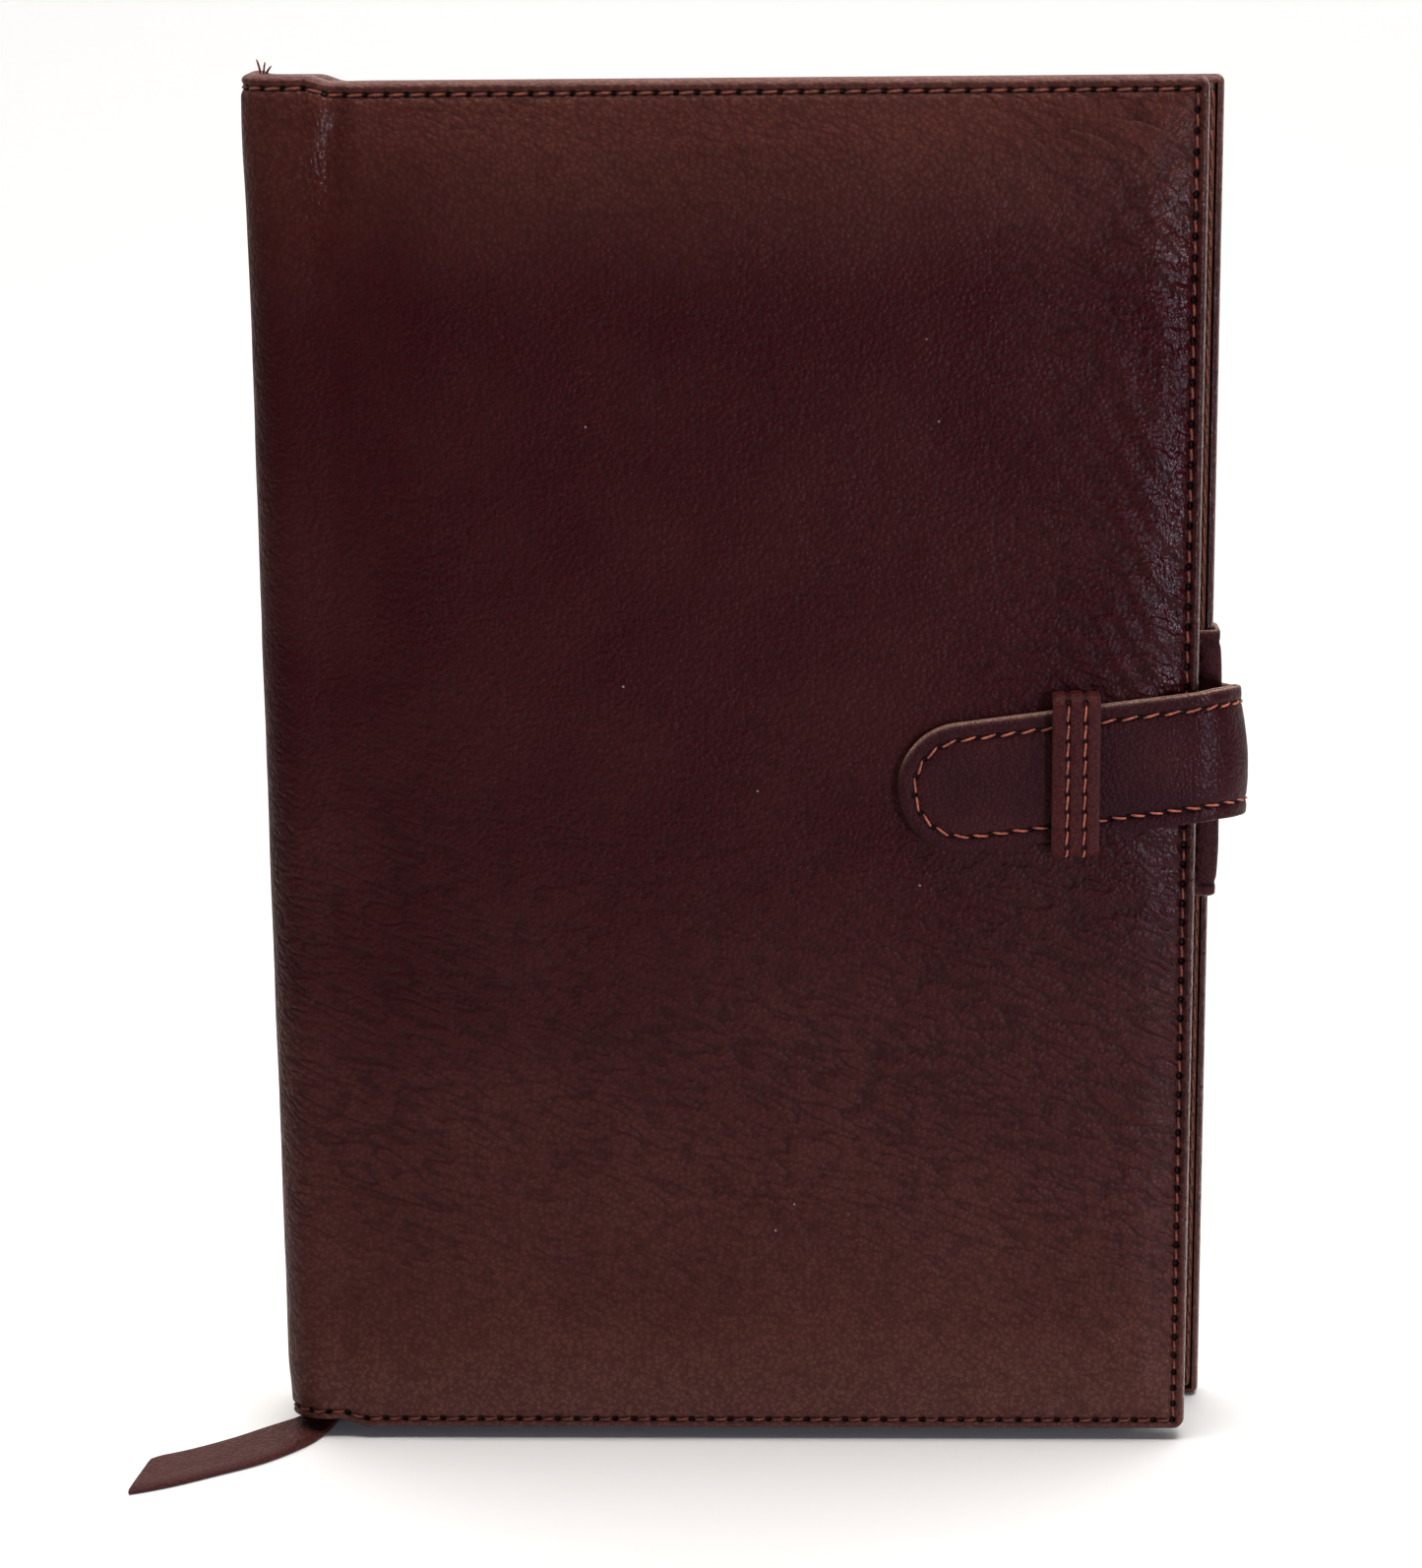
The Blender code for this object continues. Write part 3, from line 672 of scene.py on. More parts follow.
def hide_attributes(side):
    """What the hide's material reads: dyed tone with painted light, seam, wear with painted highlight,
    polish and depth of the creases.
    """
    def extra(U, V, D):
        x = U + side.to_x
        w = U * -side.out
        to_fore = side.u1 - U
        # brown at the head and the tail, deep maroon between them: partly the leather's dyed tone, partly
        # painted light, warm light from above at the head and the pale table's bounce at the tail
        brown = 0.98 * smooth(V, 183, 217) + 1.00 * (1 - smooth(V, 4, 112)) + 0.10 * noise(w / 26, V / 26, 1)
        brown += 0.12 * (1 - smooth(x, -72, -50)) * smooth(V, 20, 60)
        # past 1 at the tail and along the head's edge the brown turns paler still: painted reflection of the
        # pale floor at the tail, painted light at the head's edge
        brown = np.clip(brown, 0, 1) + 0.55 * (1 - smooth(V, 3, 26)) + 0.2 * smooth(V, 214, 221)
        # polished beside the fore seam, on the fore edge and at the head of the spine's crease
        near_seam = smooth(x, 57, 70.5) ** 1.4 * smooth(D - SEAM, 0.0, 1.0)
        near_seam = near_seam * (0.85 + 0.35 * noise(w / 2.5, V / 7, 1))
        near_seam = near_seam * (0.25 + 0.75 * smooth(V, 70, 115) * (1 - smooth(V, 198, 212)))
        near_seam = near_seam + smooth(to_fore, 1.6, 0.6)
        near_fold = bell(x, -62.5, 4.0) * smooth(V, 185, 205)
        # rims are lighter with wear and a painted highlight on their crests, less over the spine and at the
        # head, most on the fore edge
        at_head = smooth(V, HEIGHT - 2.0, HEIGHT - 0.8) * (side.out < 0) * smooth(x, -64, -50)
        rub = 0.52 - 0.35 * head_share(x) - 0.10 * at_head
        rub += 0.25 * smooth(to_fore, 1.6, 0.8) * smooth(V, 60, 130)
        # creases are deepest over the lower half and towards the fore edge
        milled = 0.35 + 0.60 * (1 - smooth(V, 60, 130)) + 0.45 * smooth(x, 25, 60)
        milled = milled + 0.2 * noise(w / 17, V / 17, 2)
        milled = milled * (0.25 + 0.75 * smooth(V, 4, 58 + 12 * noise(w / 24, V / 24, 3)))
        return {"dye": brown, "seam_s": seam_count(side, U, V), "seam_d": D - SEAM, "rub": rub,
                "polish": np.clip(near_seam + near_fold, 0, 1), "milled": np.clip(milled, 0, 1)}
    return extra


# Grid lines near a rim, close together round the edge and in the stitched groove
RIM_STEPS = np.array([0, 0.05, 0.14, 0.28, 0.48, 0.75, 1.05, 1.24, 1.30, 1.60, 1.95, 2.25, 2.55, 2.9, 3.3])
GRID = PITCH / 5


def rimmed(low, high, step, rims, margin):
    """Grid lines from low to high, evenly spaced between the closer ones at both rims."""
    return merged(low + rims, spaced((low + margin, high - margin, step)), high - rims)


def wrapped(side, inset, steps, rims, margin):
    """Grid lines from mid-spine round the turn and over the cover, with its rim at the fore edge."""
    flat_step, turn_step, step = steps
    fore = side.u1 - inset
    return merged(spaced((0, FLAT_SPINE, flat_step), (FLAT_SPINE, TURN_END, turn_step),
                         (TURN_END, fore - margin, step)), fore - rims)


for name, side in SIDES.items():
    us = wrapped(side, 0.0, (0.8, 0.45, GRID), RIM_STEPS, 3.8)
    vs = rimmed(0.0, HEIGHT, GRID, RIM_STEPS, 3.8)
    side.place = hide_place(side)
    side.relief = hide_relief(side)
    piece = sheet(f"{name}_hide", us, vs, side.place, side.relief, hide_under(side.relief),
                  HIDE, rims=("u1", "v0", "v1"), corner=CORNER[name], rim=1.2,
                  extra=hide_attributes(side))
    side.start = (SPINE_X * MM, (SPINE_MID_Y + side.out * FOLD_START) * MM, 0)
    side.end = (FOLD_END_X * MM, side.y * MM, 0)
    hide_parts(f"{name}_leather", f"{name}_crease_leather", "spine_leather")
    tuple(side.start)
    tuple(side.end)
    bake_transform(piece)


# -------------------- stitching


def stitch_points(place, holes, surface, sign=1.0, slant=0.14, rise=0.52, sink=0.34, gap=0.07):
    """One thread run for each stitch, arched from hole to hole over a surface.

    slant turns the stitch across its line, rise and sink are the height of its arch and the
    depth of its ends, and gap is the share of the pitch left free at both ends.
    """
    runs = []
    for a, b in zip(holes[:-1], holes[1:]):
        t = np.linspace(gap, 1 - gap, 9)
        u = a[0] + (b[0] - a[0]) * t
        v = a[1] + (b[1] - a[1]) * t
        length = math.hypot(*(b - a))
        across = slant * (2 * t - 1)
        u, v = u - (b[1] - a[1]) / length * across, v + (b[0] - a[0]) / length * across
        arch = np.sin(math.pi * np.linspace(0.07, 0.93, len(t))) ** 0.75
        runs.append(place(u, v, surface(u, v) + sign * (rise * arch - sink)))
    return runs


def level(height):
    """A surface at one height, for stitches."""
    return lambda u, v: np.full_like(u, height)


def flat(height):
    """A face at one height, for sheets."""
    return lambda U, V, D: np.full_like(D, height)


# Head, fore edge and tail: rise, sink and gap of their stitches
ROW_SHAPES = ((0.54, 0.36, 0.07), (0.62, 0.42, 0.20), (0.60, 0.42, 0.15))

# -------------------- inside of the covers

LINING_SKIN = 0.6
LINING_INSET = 1.5  # the hide's edge shows round the lining
POCKET_X0, POCKET_X1 = (corner[0] for corner in mm_box("front_pocket"))
POCKET_LIFT = 1.75
POCKET_SKIN = 0.8
SLIP = 0.05  # gap between layers that lie on each other


def cover_stitches(name, side):
    """Stitches of a cover's three edges, as they show outside and inside."""
    place, pocket_u = side.place, (POCKET_X0 - side.to_x, POCKET_X1 - side.to_x)
    u_seam, v_low, v_high = side.u1 - SEAM, SEAM, HEIGHT - SEAM
    along = np.linspace(0, u_seam, side.end_count + 1)
    height = np.linspace(v_low, v_high, FORE_STITCHES + 1)
    rows = [np.stack([along, np.full_like(along, v_high)], -1),
            np.stack([np.full_like(height, u_seam), height], -1),
            np.stack([along[::-1], np.full_like(along, v_low)], -1)]

    def outside(u, v):
        return side.relief(u, v, np.full_like(u, SEAM))

    def inside(u, v):
        return -inner_depth(u) - SLIP - POCKET_SKIN * (u > pocket_u[0]) * (u < pocket_u[1])

    runs = [r for row, (rise, sink, gap) in zip(rows, ROW_SHAPES)
            for r in stitch_points(place, row, outside, rise=rise, sink=sink, gap=gap)]
    outer = tubes(f"{name}_seam_stitches", runs, THREAD["cover"], SEAM_THREAD)
    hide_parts(f"{name}_thread")
    runs = [r for row in rows for r in stitch_points(place, row, inside, -1.0)]
    return outer, tubes(f"{name}_inside_stitches", runs, THREAD["inside"], SEAM_THREAD)


def cover_lining(name, side):
    """Lining leather from mid-spine to the fore edge, pressed in under the stitches."""
    def top(U, V, D):
        return LINING_SKIN - inner_depth(U)

    def low(U, V, D):
        dent = 0.16 * bell(D, SEAM - LINING_INSET, 0.5) - 0.02 * noise(U / 3, V / 3, 2)
        return dent - inner_depth(U)

    rims = RIM_STEPS[RIM_STEPS < 2.4]
    us = wrapped(side, LINING_INSET, (1.0, 0.5, 1.6), rims, 2.4)
    vs = rimmed(LINING_INSET, HEIGHT - LINING_INSET, 1.6, rims, 2.4)
    lining = sheet(f"{name}_lining_leather", us, vs, side.place, top, low, LINING,
                   rims=("u1", "v0", "v1"), corner=2.0, rim=0.3)
    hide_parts(f"{name}_lining", "spine_lining")
    return lining


def cover_padding(name, side):
    """The foam between the hide and the board, thinner towards its edges."""
    foam = mm_box(f"{name}_padding")
    out = foam[1][1] - side.y if name == "back" else side.y - foam[0][1]

    def top(U, V, D):
        return out - 0.35 * np.exp(-D / 1.5) + 0.05 * noise(U / 9, V / 9, 3)

    def low(U, V, D):
        return out - 1.0 + 0.25 * np.exp(-D / 1.5)

    us = spaced((TURN_END + 0.8, side.u1 - 1.8, 3.0))
    vs = spaced((1.8, HEIGHT - 1.8, 3.0))
    pad = sheet(f"{name}_foam_sheet", us, vs, side.place, top, low, FOAM,
                corner=3.0, rim=1.0)
    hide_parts(f"{name}_padding")
    return pad


def cover_pocket(name, side):
    """The pocket: stitched down at its edges and lifted by the notebook's card between them."""
    u0, u1 = POCKET_X0 - side.to_x, POCKET_X1 - side.to_x

    def lift(U, V, start):
        ends = np.minimum(V, HEIGHT - V) - LINING_INSET
        return POCKET_LIFT * smooth(u1 - U, start, start + 1.0) * smooth(ends, start, start + 1.1)

    def top(U, V, D):
        return -COVER_INNER - SLIP - lift(U, V, 1.45)

    def low(U, V, D):
        wave = 0.10 * smooth(D, 2, 20) * noise(U / 22, V / 22, 4)
        return -COVER_INNER - SLIP - POCKET_SKIN - lift(U, V, 0.95) + wave

    us = rimmed(u0, u1, 1.6, RIM_STEPS, 3.4)
    vs = rimmed(LINING_INSET, HEIGHT - LINING_INSET, 1.6, RIM_STEPS, 3.4)
    holder = sheet(f"{name}_pocket_leather", us, vs, side.place, top, low, LINING,
                   corner=1.5, rim=0.35)
    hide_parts(f"{name}_pocket")
    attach(holder, side.body)


for name, side in SIDES.items():
    outer, inner = cover_stitches(name, side)
    lining = cover_lining(name, side)
    pad = cover_padding(name, side)
    cover_pocket(name, side)
    for piece in (outer, inner, lining, pad):
        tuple(side.start)
        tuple(side.end)
        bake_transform(piece)

# -------------------- strap

STRAP_SKIN = STRAP_TONGUE[0][1] + 0.5  # middle of the strap's outer layer on the front
STRAP_SIDE_X = STRAP_SIDE[1][0] - 0.5
STRAP_REAR_Y = STRAP_ROOT[1][1] - 0.5
STRAP_TIP_X = STRAP_TONGUE[0][0]
STRAP_ROOT_X = STRAP_ROOT[0][0]
STRAP_CURVE = 8.5  # radius in which the strap turns round the fore edge
STRAP_DROP = 4.6  # fall of the strap from the front to its root
STRAP_HALF = 10.5  # half its width
STRAP_INSET = 2.6  # stitch line's distance from its edge
STRAP_STITCH = 3.1
TIP_STITCHES = 4  # stitches in a quarter of the tip
TIP_TURN = STRAP_HALF - STRAP_INSET  # radius of the stitch line round the tip
TURN_X, _, TURN_Z = JOINT_AT["strap_root"]
STRAP_MID_Y = (JOINT_AT["strap_root"][1] + JOINT_AT["strap_bend"][1]) / 2
KEEPER_X = (KEEPER[0][0] + KEEPER[1][0]) / 2
KEEPER_Z = (KEEPER[0][2] + KEEPER[1][2]) / 2
STRAP_SLOPE = (TURN_Z - KEEPER_Z) / (TURN_X - KEEPER_X)
STRAP_TILT = math.atan(STRAP_SLOPE)


def strap_place(route, tilted):
    """Turns (length from the tip or the split, across, out) into x, y, z."""
    def place(U, V, H):
        x, y, nx, ny = route.frame(U)
        middle = TURN_Z + (np.minimum(x, TURN_X) - TURN_X) * STRAP_SLOPE * tilted
        share = tilted * (1 - smooth(x, 58, 76))
        z = middle + V * (1 + (math.cos(STRAP_TILT) - 1) * share)
        z = z - STRAP_DROP * smooth(y, STRAP_SKIN, STRAP_REAR_Y)
        x = x - math.sin(STRAP_TILT) * V * share - 1.2 * smooth(V, -2, 10.5) * smooth(x, 73, 81)
        return np.stack([x + nx * H, y + ny * H, z], -1)
    return place


front_route = Route([(STRAP_TIP_X, STRAP_SKIN), (STRAP_SIDE_X, STRAP_SKIN), (STRAP_SIDE_X, STRAP_MID_Y)],
                    STRAP_CURVE, 1)
rear_route = Route([(STRAP_SIDE_X, STRAP_MID_Y), (STRAP_SIDE_X, STRAP_REAR_Y),
                    (STRAP_ROOT_X, STRAP_REAR_Y)], STRAP_CURVE, 1)


def even_pitch(length):
    """The pitch nearest to STRAP_STITCH that divides a length evenly."""
    return length / round(length / STRAP_STITCH)


FRONT_PITCH = even_pitch(front_route.length - STRAP_HALF)
REAR_PITCH = even_pitch(rear_route.length - STRAP_INSET)


def strap_count(U, V, front):
    """Stitch count along the strap's seam."""
    if not front:
        return U / REAR_PITCH
    angle = np.arctan2(np.abs(V), np.maximum(STRAP_HALF - U, 1e-6))
    tip = angle / (math.pi / 2) * TIP_STITCHES
    return np.where(U < STRAP_HALF, tip, TIP_STITCHES + (U - STRAP_HALF) / FRONT_PITCH)


def strap_top(front):
    """Face of the outer layer: padded between its seams, with a groove and a hole at each stitch."""
    def top(U, V, D):
        d = D - STRAP_INSET
        count = strap_count(U, V, front)
        phase = (count - np.round(count)) * STRAP_STITCH
        high = 0.48 + 0.14 * smooth(d, 0.1, 3.4) - 0.20 * bell(d, 0, 0.5)
        high += 0.05 * bell(d, -1.2, 0.6) - 0.16 * bell(d, 0, 0.5) * bell(phase, 0, 0.6)
        return high + 0.05 * noise(U / 5, V / 5, 1) * smooth(D, 2.5, 5)
    return top


def strap_attributes(front):
    """What the strap's material reads; its upper edge is lightest, with wear and a painted highlight from
    the light above, its bend is polished.
    """
    def extra(U, V, D):
        dye = 0.18 + 0.3 * noise(U / 14, V / 9, 2) * smooth(D, 0, 4)
        bend = bell(U, front_route.length - 17.5, 5.0) if front else np.zeros_like(U)
        # upper edge lighter: wear and a painted highlight
        return {"dye": dye, "seam_s": strap_count(U, V, front), "seam_d": D - STRAP_INSET,
                "rub": 0.40 + 0.60 * smooth(V, -3, 8), "polish": bend}
    return extra


def strap_holes(front, length):
    """Rows of needle holes: along both edges, round the tip, and across the root."""
    rows = []
    for sign in (1, -1):
        line = sign * TIP_TURN
        if front:
            row = [(STRAP_HALF - TIP_TURN * math.cos(a), line * math.sin(a))
                   for a in np.linspace(0, math.pi / 2, TIP_STITCHES + 1)[:-1]]
            row += [(u, line) for u in np.arange(STRAP_HALF, length + 0.1, FRONT_PITCH)]
        else:
            row = [(u, line) for u in np.arange(0, length - STRAP_INSET + 0.1, REAR_PITCH)]
        rows.append(np.array(row))
    if not front:
        end = length - STRAP_INSET
        rows.append(np.array([(end, v) for v in np.linspace(-TIP_TURN, TIP_TURN, 6)]))
    return rows


OUTER_BACK = -0.52  # back of the strap's outer layer, from its middle
BACKING = (-0.60, -1.45)  # face and back of its inner layer
STRAP_RIM = np.array([0, 0.05, 0.14, 0.28, 0.45, 0.65, 0.95, 1.3, 1.7, 2.1, 2.35, 2.6, 2.85, 3.2, 3.7])
STRAP_MARGIN = 4.1
strap_vs = rimmed(-STRAP_HALF, STRAP_HALF, 0.6, STRAP_RIM, STRAP_MARGIN)
# name, route, joint, bodies, the end that has a rim, corner radius
STRAP_PIECES = (("tongue", front_route, "strap_bend", ("strap_band", "strap_tongue"), "u0", STRAP_HALF),
                ("root", rear_route, "strap_root", ("strap_band", "back_cover"), "u1", 2.0))
for name, route, joint, bodies, end, corner in STRAP_PIECES:
    front = end == "u0"
    if front:
        us = merged(STRAP_RIM, spaced((STRAP_MARGIN, route.length, 0.6)))
    else:
        us = merged(spaced((0, route.length - STRAP_MARGIN, 0.6)), route.length - STRAP_RIM)
    place = strap_place(route, 1.0 if front else 0.0)
    top = strap_top(front)
    upper = sheet(f"strap_{name}_leather", us, strap_vs, place, top, flat(OUTER_BACK), STRAP,
                  rims=(end, "v0", "v1"), corner=corner, rim=0.62, extra=strap_attributes(front))
    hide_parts(f"strap_{name}_outer", "strap_side_outer")
    under = sheet(f"strap_{name}_backing", us, strap_vs, place, flat(BACKING[0]), flat(BACKING[1]),
                  STRAP, rims=(end, "v0", "v1"), corner=corner, rim=0.5,
                  extra=strap_attributes(front))
    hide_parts(f"strap_{name}_lining", "strap_side_lining")

    def surface(u, v, top=top):
        return top(u, v, np.full_like(u, STRAP_INSET))

    runs = []
    for row in strap_holes(front, route.length):
        upward = row[0][1] > 0 or row[-1][1] > row[0][1]
        runs += stitch_points(place, row, surface, slant=0.30 if upward else -0.30, rise=0.56, sink=0.36)
    thread = tubes(f"strap_{name}_stitches", runs, THREAD["strap"], STRAP_THREAD)
    if front:
        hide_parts("strap_thread")
    hinge_x, hinge_y, _ = JOINT_AT[joint]
    for piece in (upper, under, thread):
        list(bodies)
        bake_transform(piece)

# -------------------- keeper

KEEPER_HALF = 0.6  # half its thickness
KEEPER_ROWS = 1.35  # stitch rows' distance from its middle
KEEPER_PITCH = 2.85
KEEPER_TURN = 1.7
KEEPER_RIM = STRAP_RIM[:9]
KEEPER_FOOT = FRONT_OUT + 0.5  # its ends are sunk in the cover
keeper_low, keeper_high = KEEPER[0][2] + KEEPER_HALF, KEEPER[1][2] - KEEPER_HALF
keeper_out = KEEPER[0][1] + KEEPER_HALF
keeper_route = Route([(keeper_low, KEEPER_FOOT), (keeper_low, keeper_out), (keeper_high, keeper_out),
                      (keeper_high, KEEPER_FOOT)], KEEPER_TURN, 1)


def keeper_place(U, V, H):
    """Turns (length up the loop, x, distance out) into x, y, z."""
    z, y, nz, ny = keeper_route.frame(U)
    return np.stack([V, y + ny * H, z + nz * H], -1)


def keeper_top(U, V, D):
    off = V - KEEPER_X
    rows = bell(off, KEEPER_ROWS, 0.4) + bell(off, -KEEPER_ROWS, 0.4)
    return KEEPER_HALF + 0.16 * smooth(D, 0, 2.2) - 0.17 * rows + 0.03 * noise(U / 3, V / 2, 4)


def keeper_attributes(U, V, D):
    off = np.abs(V - KEEPER_X) - KEEPER_ROWS
    # rims lighter all round: wear and a painted highlight
    return {"dye": np.full_like(U, 0.95), "seam_s": U / KEEPER_PITCH, "seam_d": off,
            "rub": np.full_like(U, 0.7)}


us = spaced((0, keeper_route.length, 0.4))
vs = rimmed(KEEPER[0][0], KEEPER[1][0], 0.3, KEEPER_RIM, 2.0)
loop = sheet("keeper_leather", us, vs, keeper_place, keeper_top, flat(-KEEPER_HALF), STRAP,
             rims=("v0", "v1"), corner=0.01, rim=0.55, extra=keeper_attributes)
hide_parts("keeper_loop")
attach(loop, "front_cover")
runs = []
for off in (-KEEPER_ROWS, KEEPER_ROWS):
    count = int(keeper_route.length / KEEPER_PITCH)
    row = np.array([(k * KEEPER_PITCH, KEEPER_X + off) for k in range(1, count)])
    runs += stitch_points(keeper_place, row, level(KEEPER_HALF - 0.02), slant=0.16, rise=0.44, sink=0.26)
thread = tubes("keeper_stitches", runs, THREAD["keeper"], STRAP_THREAD)
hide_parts("keeper_thread")
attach(thread, "front_cover")

# -------------------- strap anchor

ANCHOR_HALF = 0.5  # half its thickness
ANCHOR_SEAM = 2.2
ANCHOR_TURN = 1.4
ANCHOR_LIP = 5.5  # how far it is turned in over the fore edge
anchor_side, anchor_back = ANCHOR[1][0] - ANCHOR_HALF, ANCHOR[1][1] - ANCHOR_HALF
anchor_front = ANCHOR[0][1] + ANCHOR_HALF
anchor_route = Route([(anchor_side - ANCHOR_LIP, anchor_front), (anchor_side, anchor_front),
                      (anchor_side, anchor_back), (ANCHOR[0][0], anchor_back)], ANCHOR_TURN, 1)


def anchor_place(U, V, H):
    """Turns (length round the edge, height, distance out) into x, y, z; thinner at both ends."""
    x, y, nx, ny = anchor_route.frame(U)
    taper = 0.28 * (1 - smooth(np.minimum(V - ANCHOR[0][2], ANCHOR[1][2] - V), 0, 9))
    return np.stack([x + nx * (H - taper), y + ny * (H - taper), V], -1)


def anchor_top(U, V, D):
    high = ANCHOR_HALF + 0.08 * smooth(D, 2, 4) - 0.16 * bell(D, ANCHOR_SEAM, 0.5)
    return high + 0.05 * noise(U / 6, V / 6, 5)


def anchor_attributes(U, V, D):
    return {"dye": 0.55 + 0.2 * noise(U / 9, V / 9, 1), "seam_s": V / PITCH, "seam_d": D - ANCHOR_SEAM}


us = rimmed(0, anchor_route.length, 0.5, STRAP_RIM, STRAP_MARGIN)
vs = rimmed(ANCHOR[0][2], ANCHOR[1][2], 0.8, STRAP_RIM, STRAP_MARGIN)
patch = sheet("strap_anchor_leather", us, vs, anchor_place, anchor_top, flat(-ANCHOR_HALF), STRAP,
              corner=3.0, rim=0.45, extra=anchor_attributes)
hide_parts("strap_anchor")
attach(patch, "back_cover")
end = anchor_route.length - ANCHOR_SEAM
z0, z1 = ANCHOR[0][2] + ANCHOR_SEAM, ANCHOR[1][2] - ANCHOR_SEAM
start = anchor_route.length - (anchor_side - ANCHOR[0][0]) + 3.0
rows = [np.array([(u, z) for u in np.linspace(start, end, 10)]) for z in (z0, z1)]
rows.append(np.array([(end, z) for z in np.linspace(z0, z1, 14)]))
runs = [r for row in rows for r in stitch_points(anchor_place, row, level(ANCHOR_HALF - 0.05))]
thread = tubes("strap_anchor_stitches", runs, THREAD["anchor"], SEAM_THREAD)
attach(thread, "back_cover")

# -------------------- bookmark

RIBBON_HALF = 0.5  # half its thickness
# x, y, z, half width, direction of the width in degrees, from the tip up into the spine
RIBBON_STATIONS = np.array([
    (-96.2, -38.3, 0.5, 6.5, -97), (-88.5, -33.7, 0.5, 5.5, -60), (-80.5, -28.0, 0.5, 5.5, -52),
    (-74.5, -21.8, 0.5, 5.0, -42), (-71.0, -17.0, 0.5, 3.8, -34), (-69.2, -13.8, 0.9, 3.0, -32),
    (-68.3, -12.0, 2.6, 2.8, -32), (-67.8, -11.2, 6.0, 2.6, -34), (-67.6, -11.0, 20.0, 2.6, -38),
    (-67.6, -11.0, 214.0, 2.6, -38)])
STATION_STEPS = 14
LEAVES_TABLE = 5 * STATION_STEPS  # from this step on the ribbon stands up
IN_SPINE = 8 * STATION_STEPS + 6  # and from this one it is straight


def through(stations, steps):
    """A smooth curve through the stations, by Catmull and Rom's rule."""
    first, last = 2 * stations[0] - stations[1], 2 * stations[-1] - stations[-2]
    guides = np.concatenate([[first], stations, [last]])
    found = []
    for i in range(len(stations) - 1):
        a, b, c, d = guides[i:i + 4]
        for t in np.arange(steps) / steps:
            found.append(0.5 * (2 * b + (c - a) * t + (2 * a - 5 * b + 4 * c - d) * t ** 2
                                + (3 * b - a - 3 * c + d) * t ** 3))
    return np.array(found + [stations[-1]])


ribbon = through(RIBBON_STATIONS, STATION_STEPS)
ribbon[:, 2] = np.maximum(ribbon[:, 2], RIBBON_HALF)
ribbon_along = unit(np.gradient(ribbon[:, :3], axis=0))
ribbon_length = lengths(ribbon[:, :3])


def ribbon_place(U, V, H):
    """V runs from -1 to 1 across the ribbon."""
    def at(values):
        return np.interp(U, ribbon_length, values)
    angle = np.radians(at(ribbon[:, 4]))
    across = np.stack([np.cos(angle), np.sin(angle), np.zeros_like(angle)], -1)
    along = np.stack([at(ribbon_along[:, i]) for i in range(3)], -1)
    out = unit(np.cross(along, across))
    # on the table its face looks up
    upward = out * np.sign(out[..., 2:3] + 1e-9)
    out = np.where((U > ribbon_length[LEAVES_TABLE])[..., None], out, upward)
    centre = np.stack([at(ribbon[:, i]) for i in range(3)], -1)
    return centre + across * (V * at(ribbon[:, 3]))[..., None] + out * H[..., None]


def ribbon_top(U, V, D):
    edge = 1 - np.abs(V)
    return RIBBON_HALF * (1 - 0.55 * (1 - smooth(edge, 0, 0.09))) - 0.10 * bell(edge, 0.13, 0.04)


def ribbon_low(U, V, D):
    return -RIBBON_HALF * (1 - 0.5 * (1 - smooth(1 - np.abs(V), 0, 0.09)))


straight = spaced((ribbon_length[IN_SPINE], ribbon_length[-1], 6.0))
us = merged(ribbon_length[:IN_SPINE + 2:2], straight, [0.15, 0.4, 0.8])
ribbon_rim = np.array([0, .02, .05, .09, .13, .18])
vs = np.round(merged(-1 + ribbon_rim, np.linspace(-0.75, 0.75, 13), 1 - ribbon_rim), 4)
marker = sheet("bookmark_leather", us, vs, ribbon_place, ribbon_top, ribbon_low, RIBBON,
               rims=(), corner=0.01, rim=0.01, sharp=60)
paint(marker, "rim", np.zeros(len(marker.data.vertices)))
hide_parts("bookmark_ribbon")
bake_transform(marker)

# -------------------- loose thread

runs = []
for lean, turn, tall in ((-0.9, 0.3, 2.0), (0.5, -0.4, 1.6), (1.4, 0.2, 1.0)):
    foot = np.array([SPINE_X + 2.6 + lean * 0.3, SPINE_MID_Y - 5.0, HEIGHT + HEAD_RISE - 1.0])
    t = np.linspace(0, 1, 7)[:, None]
    runs.append(foot + t * [0, 0, tall + 1.0] + t ** 2 * [lean * 0.7, turn, 0])
tuft = tubes("loose_thread_ends", runs, THREAD["loose"], SEAM_THREAD)
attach(tuft, "spine")

# -------------------- pages

SHEETS = 7  # folded sheets in a signature
PAPER_SKIN = 0.10  # thickness of a sheet as it is drawn
FOLD_STEPS = 8
PAGE_CORNER = 2.2  # radius of the pages' rounded corners


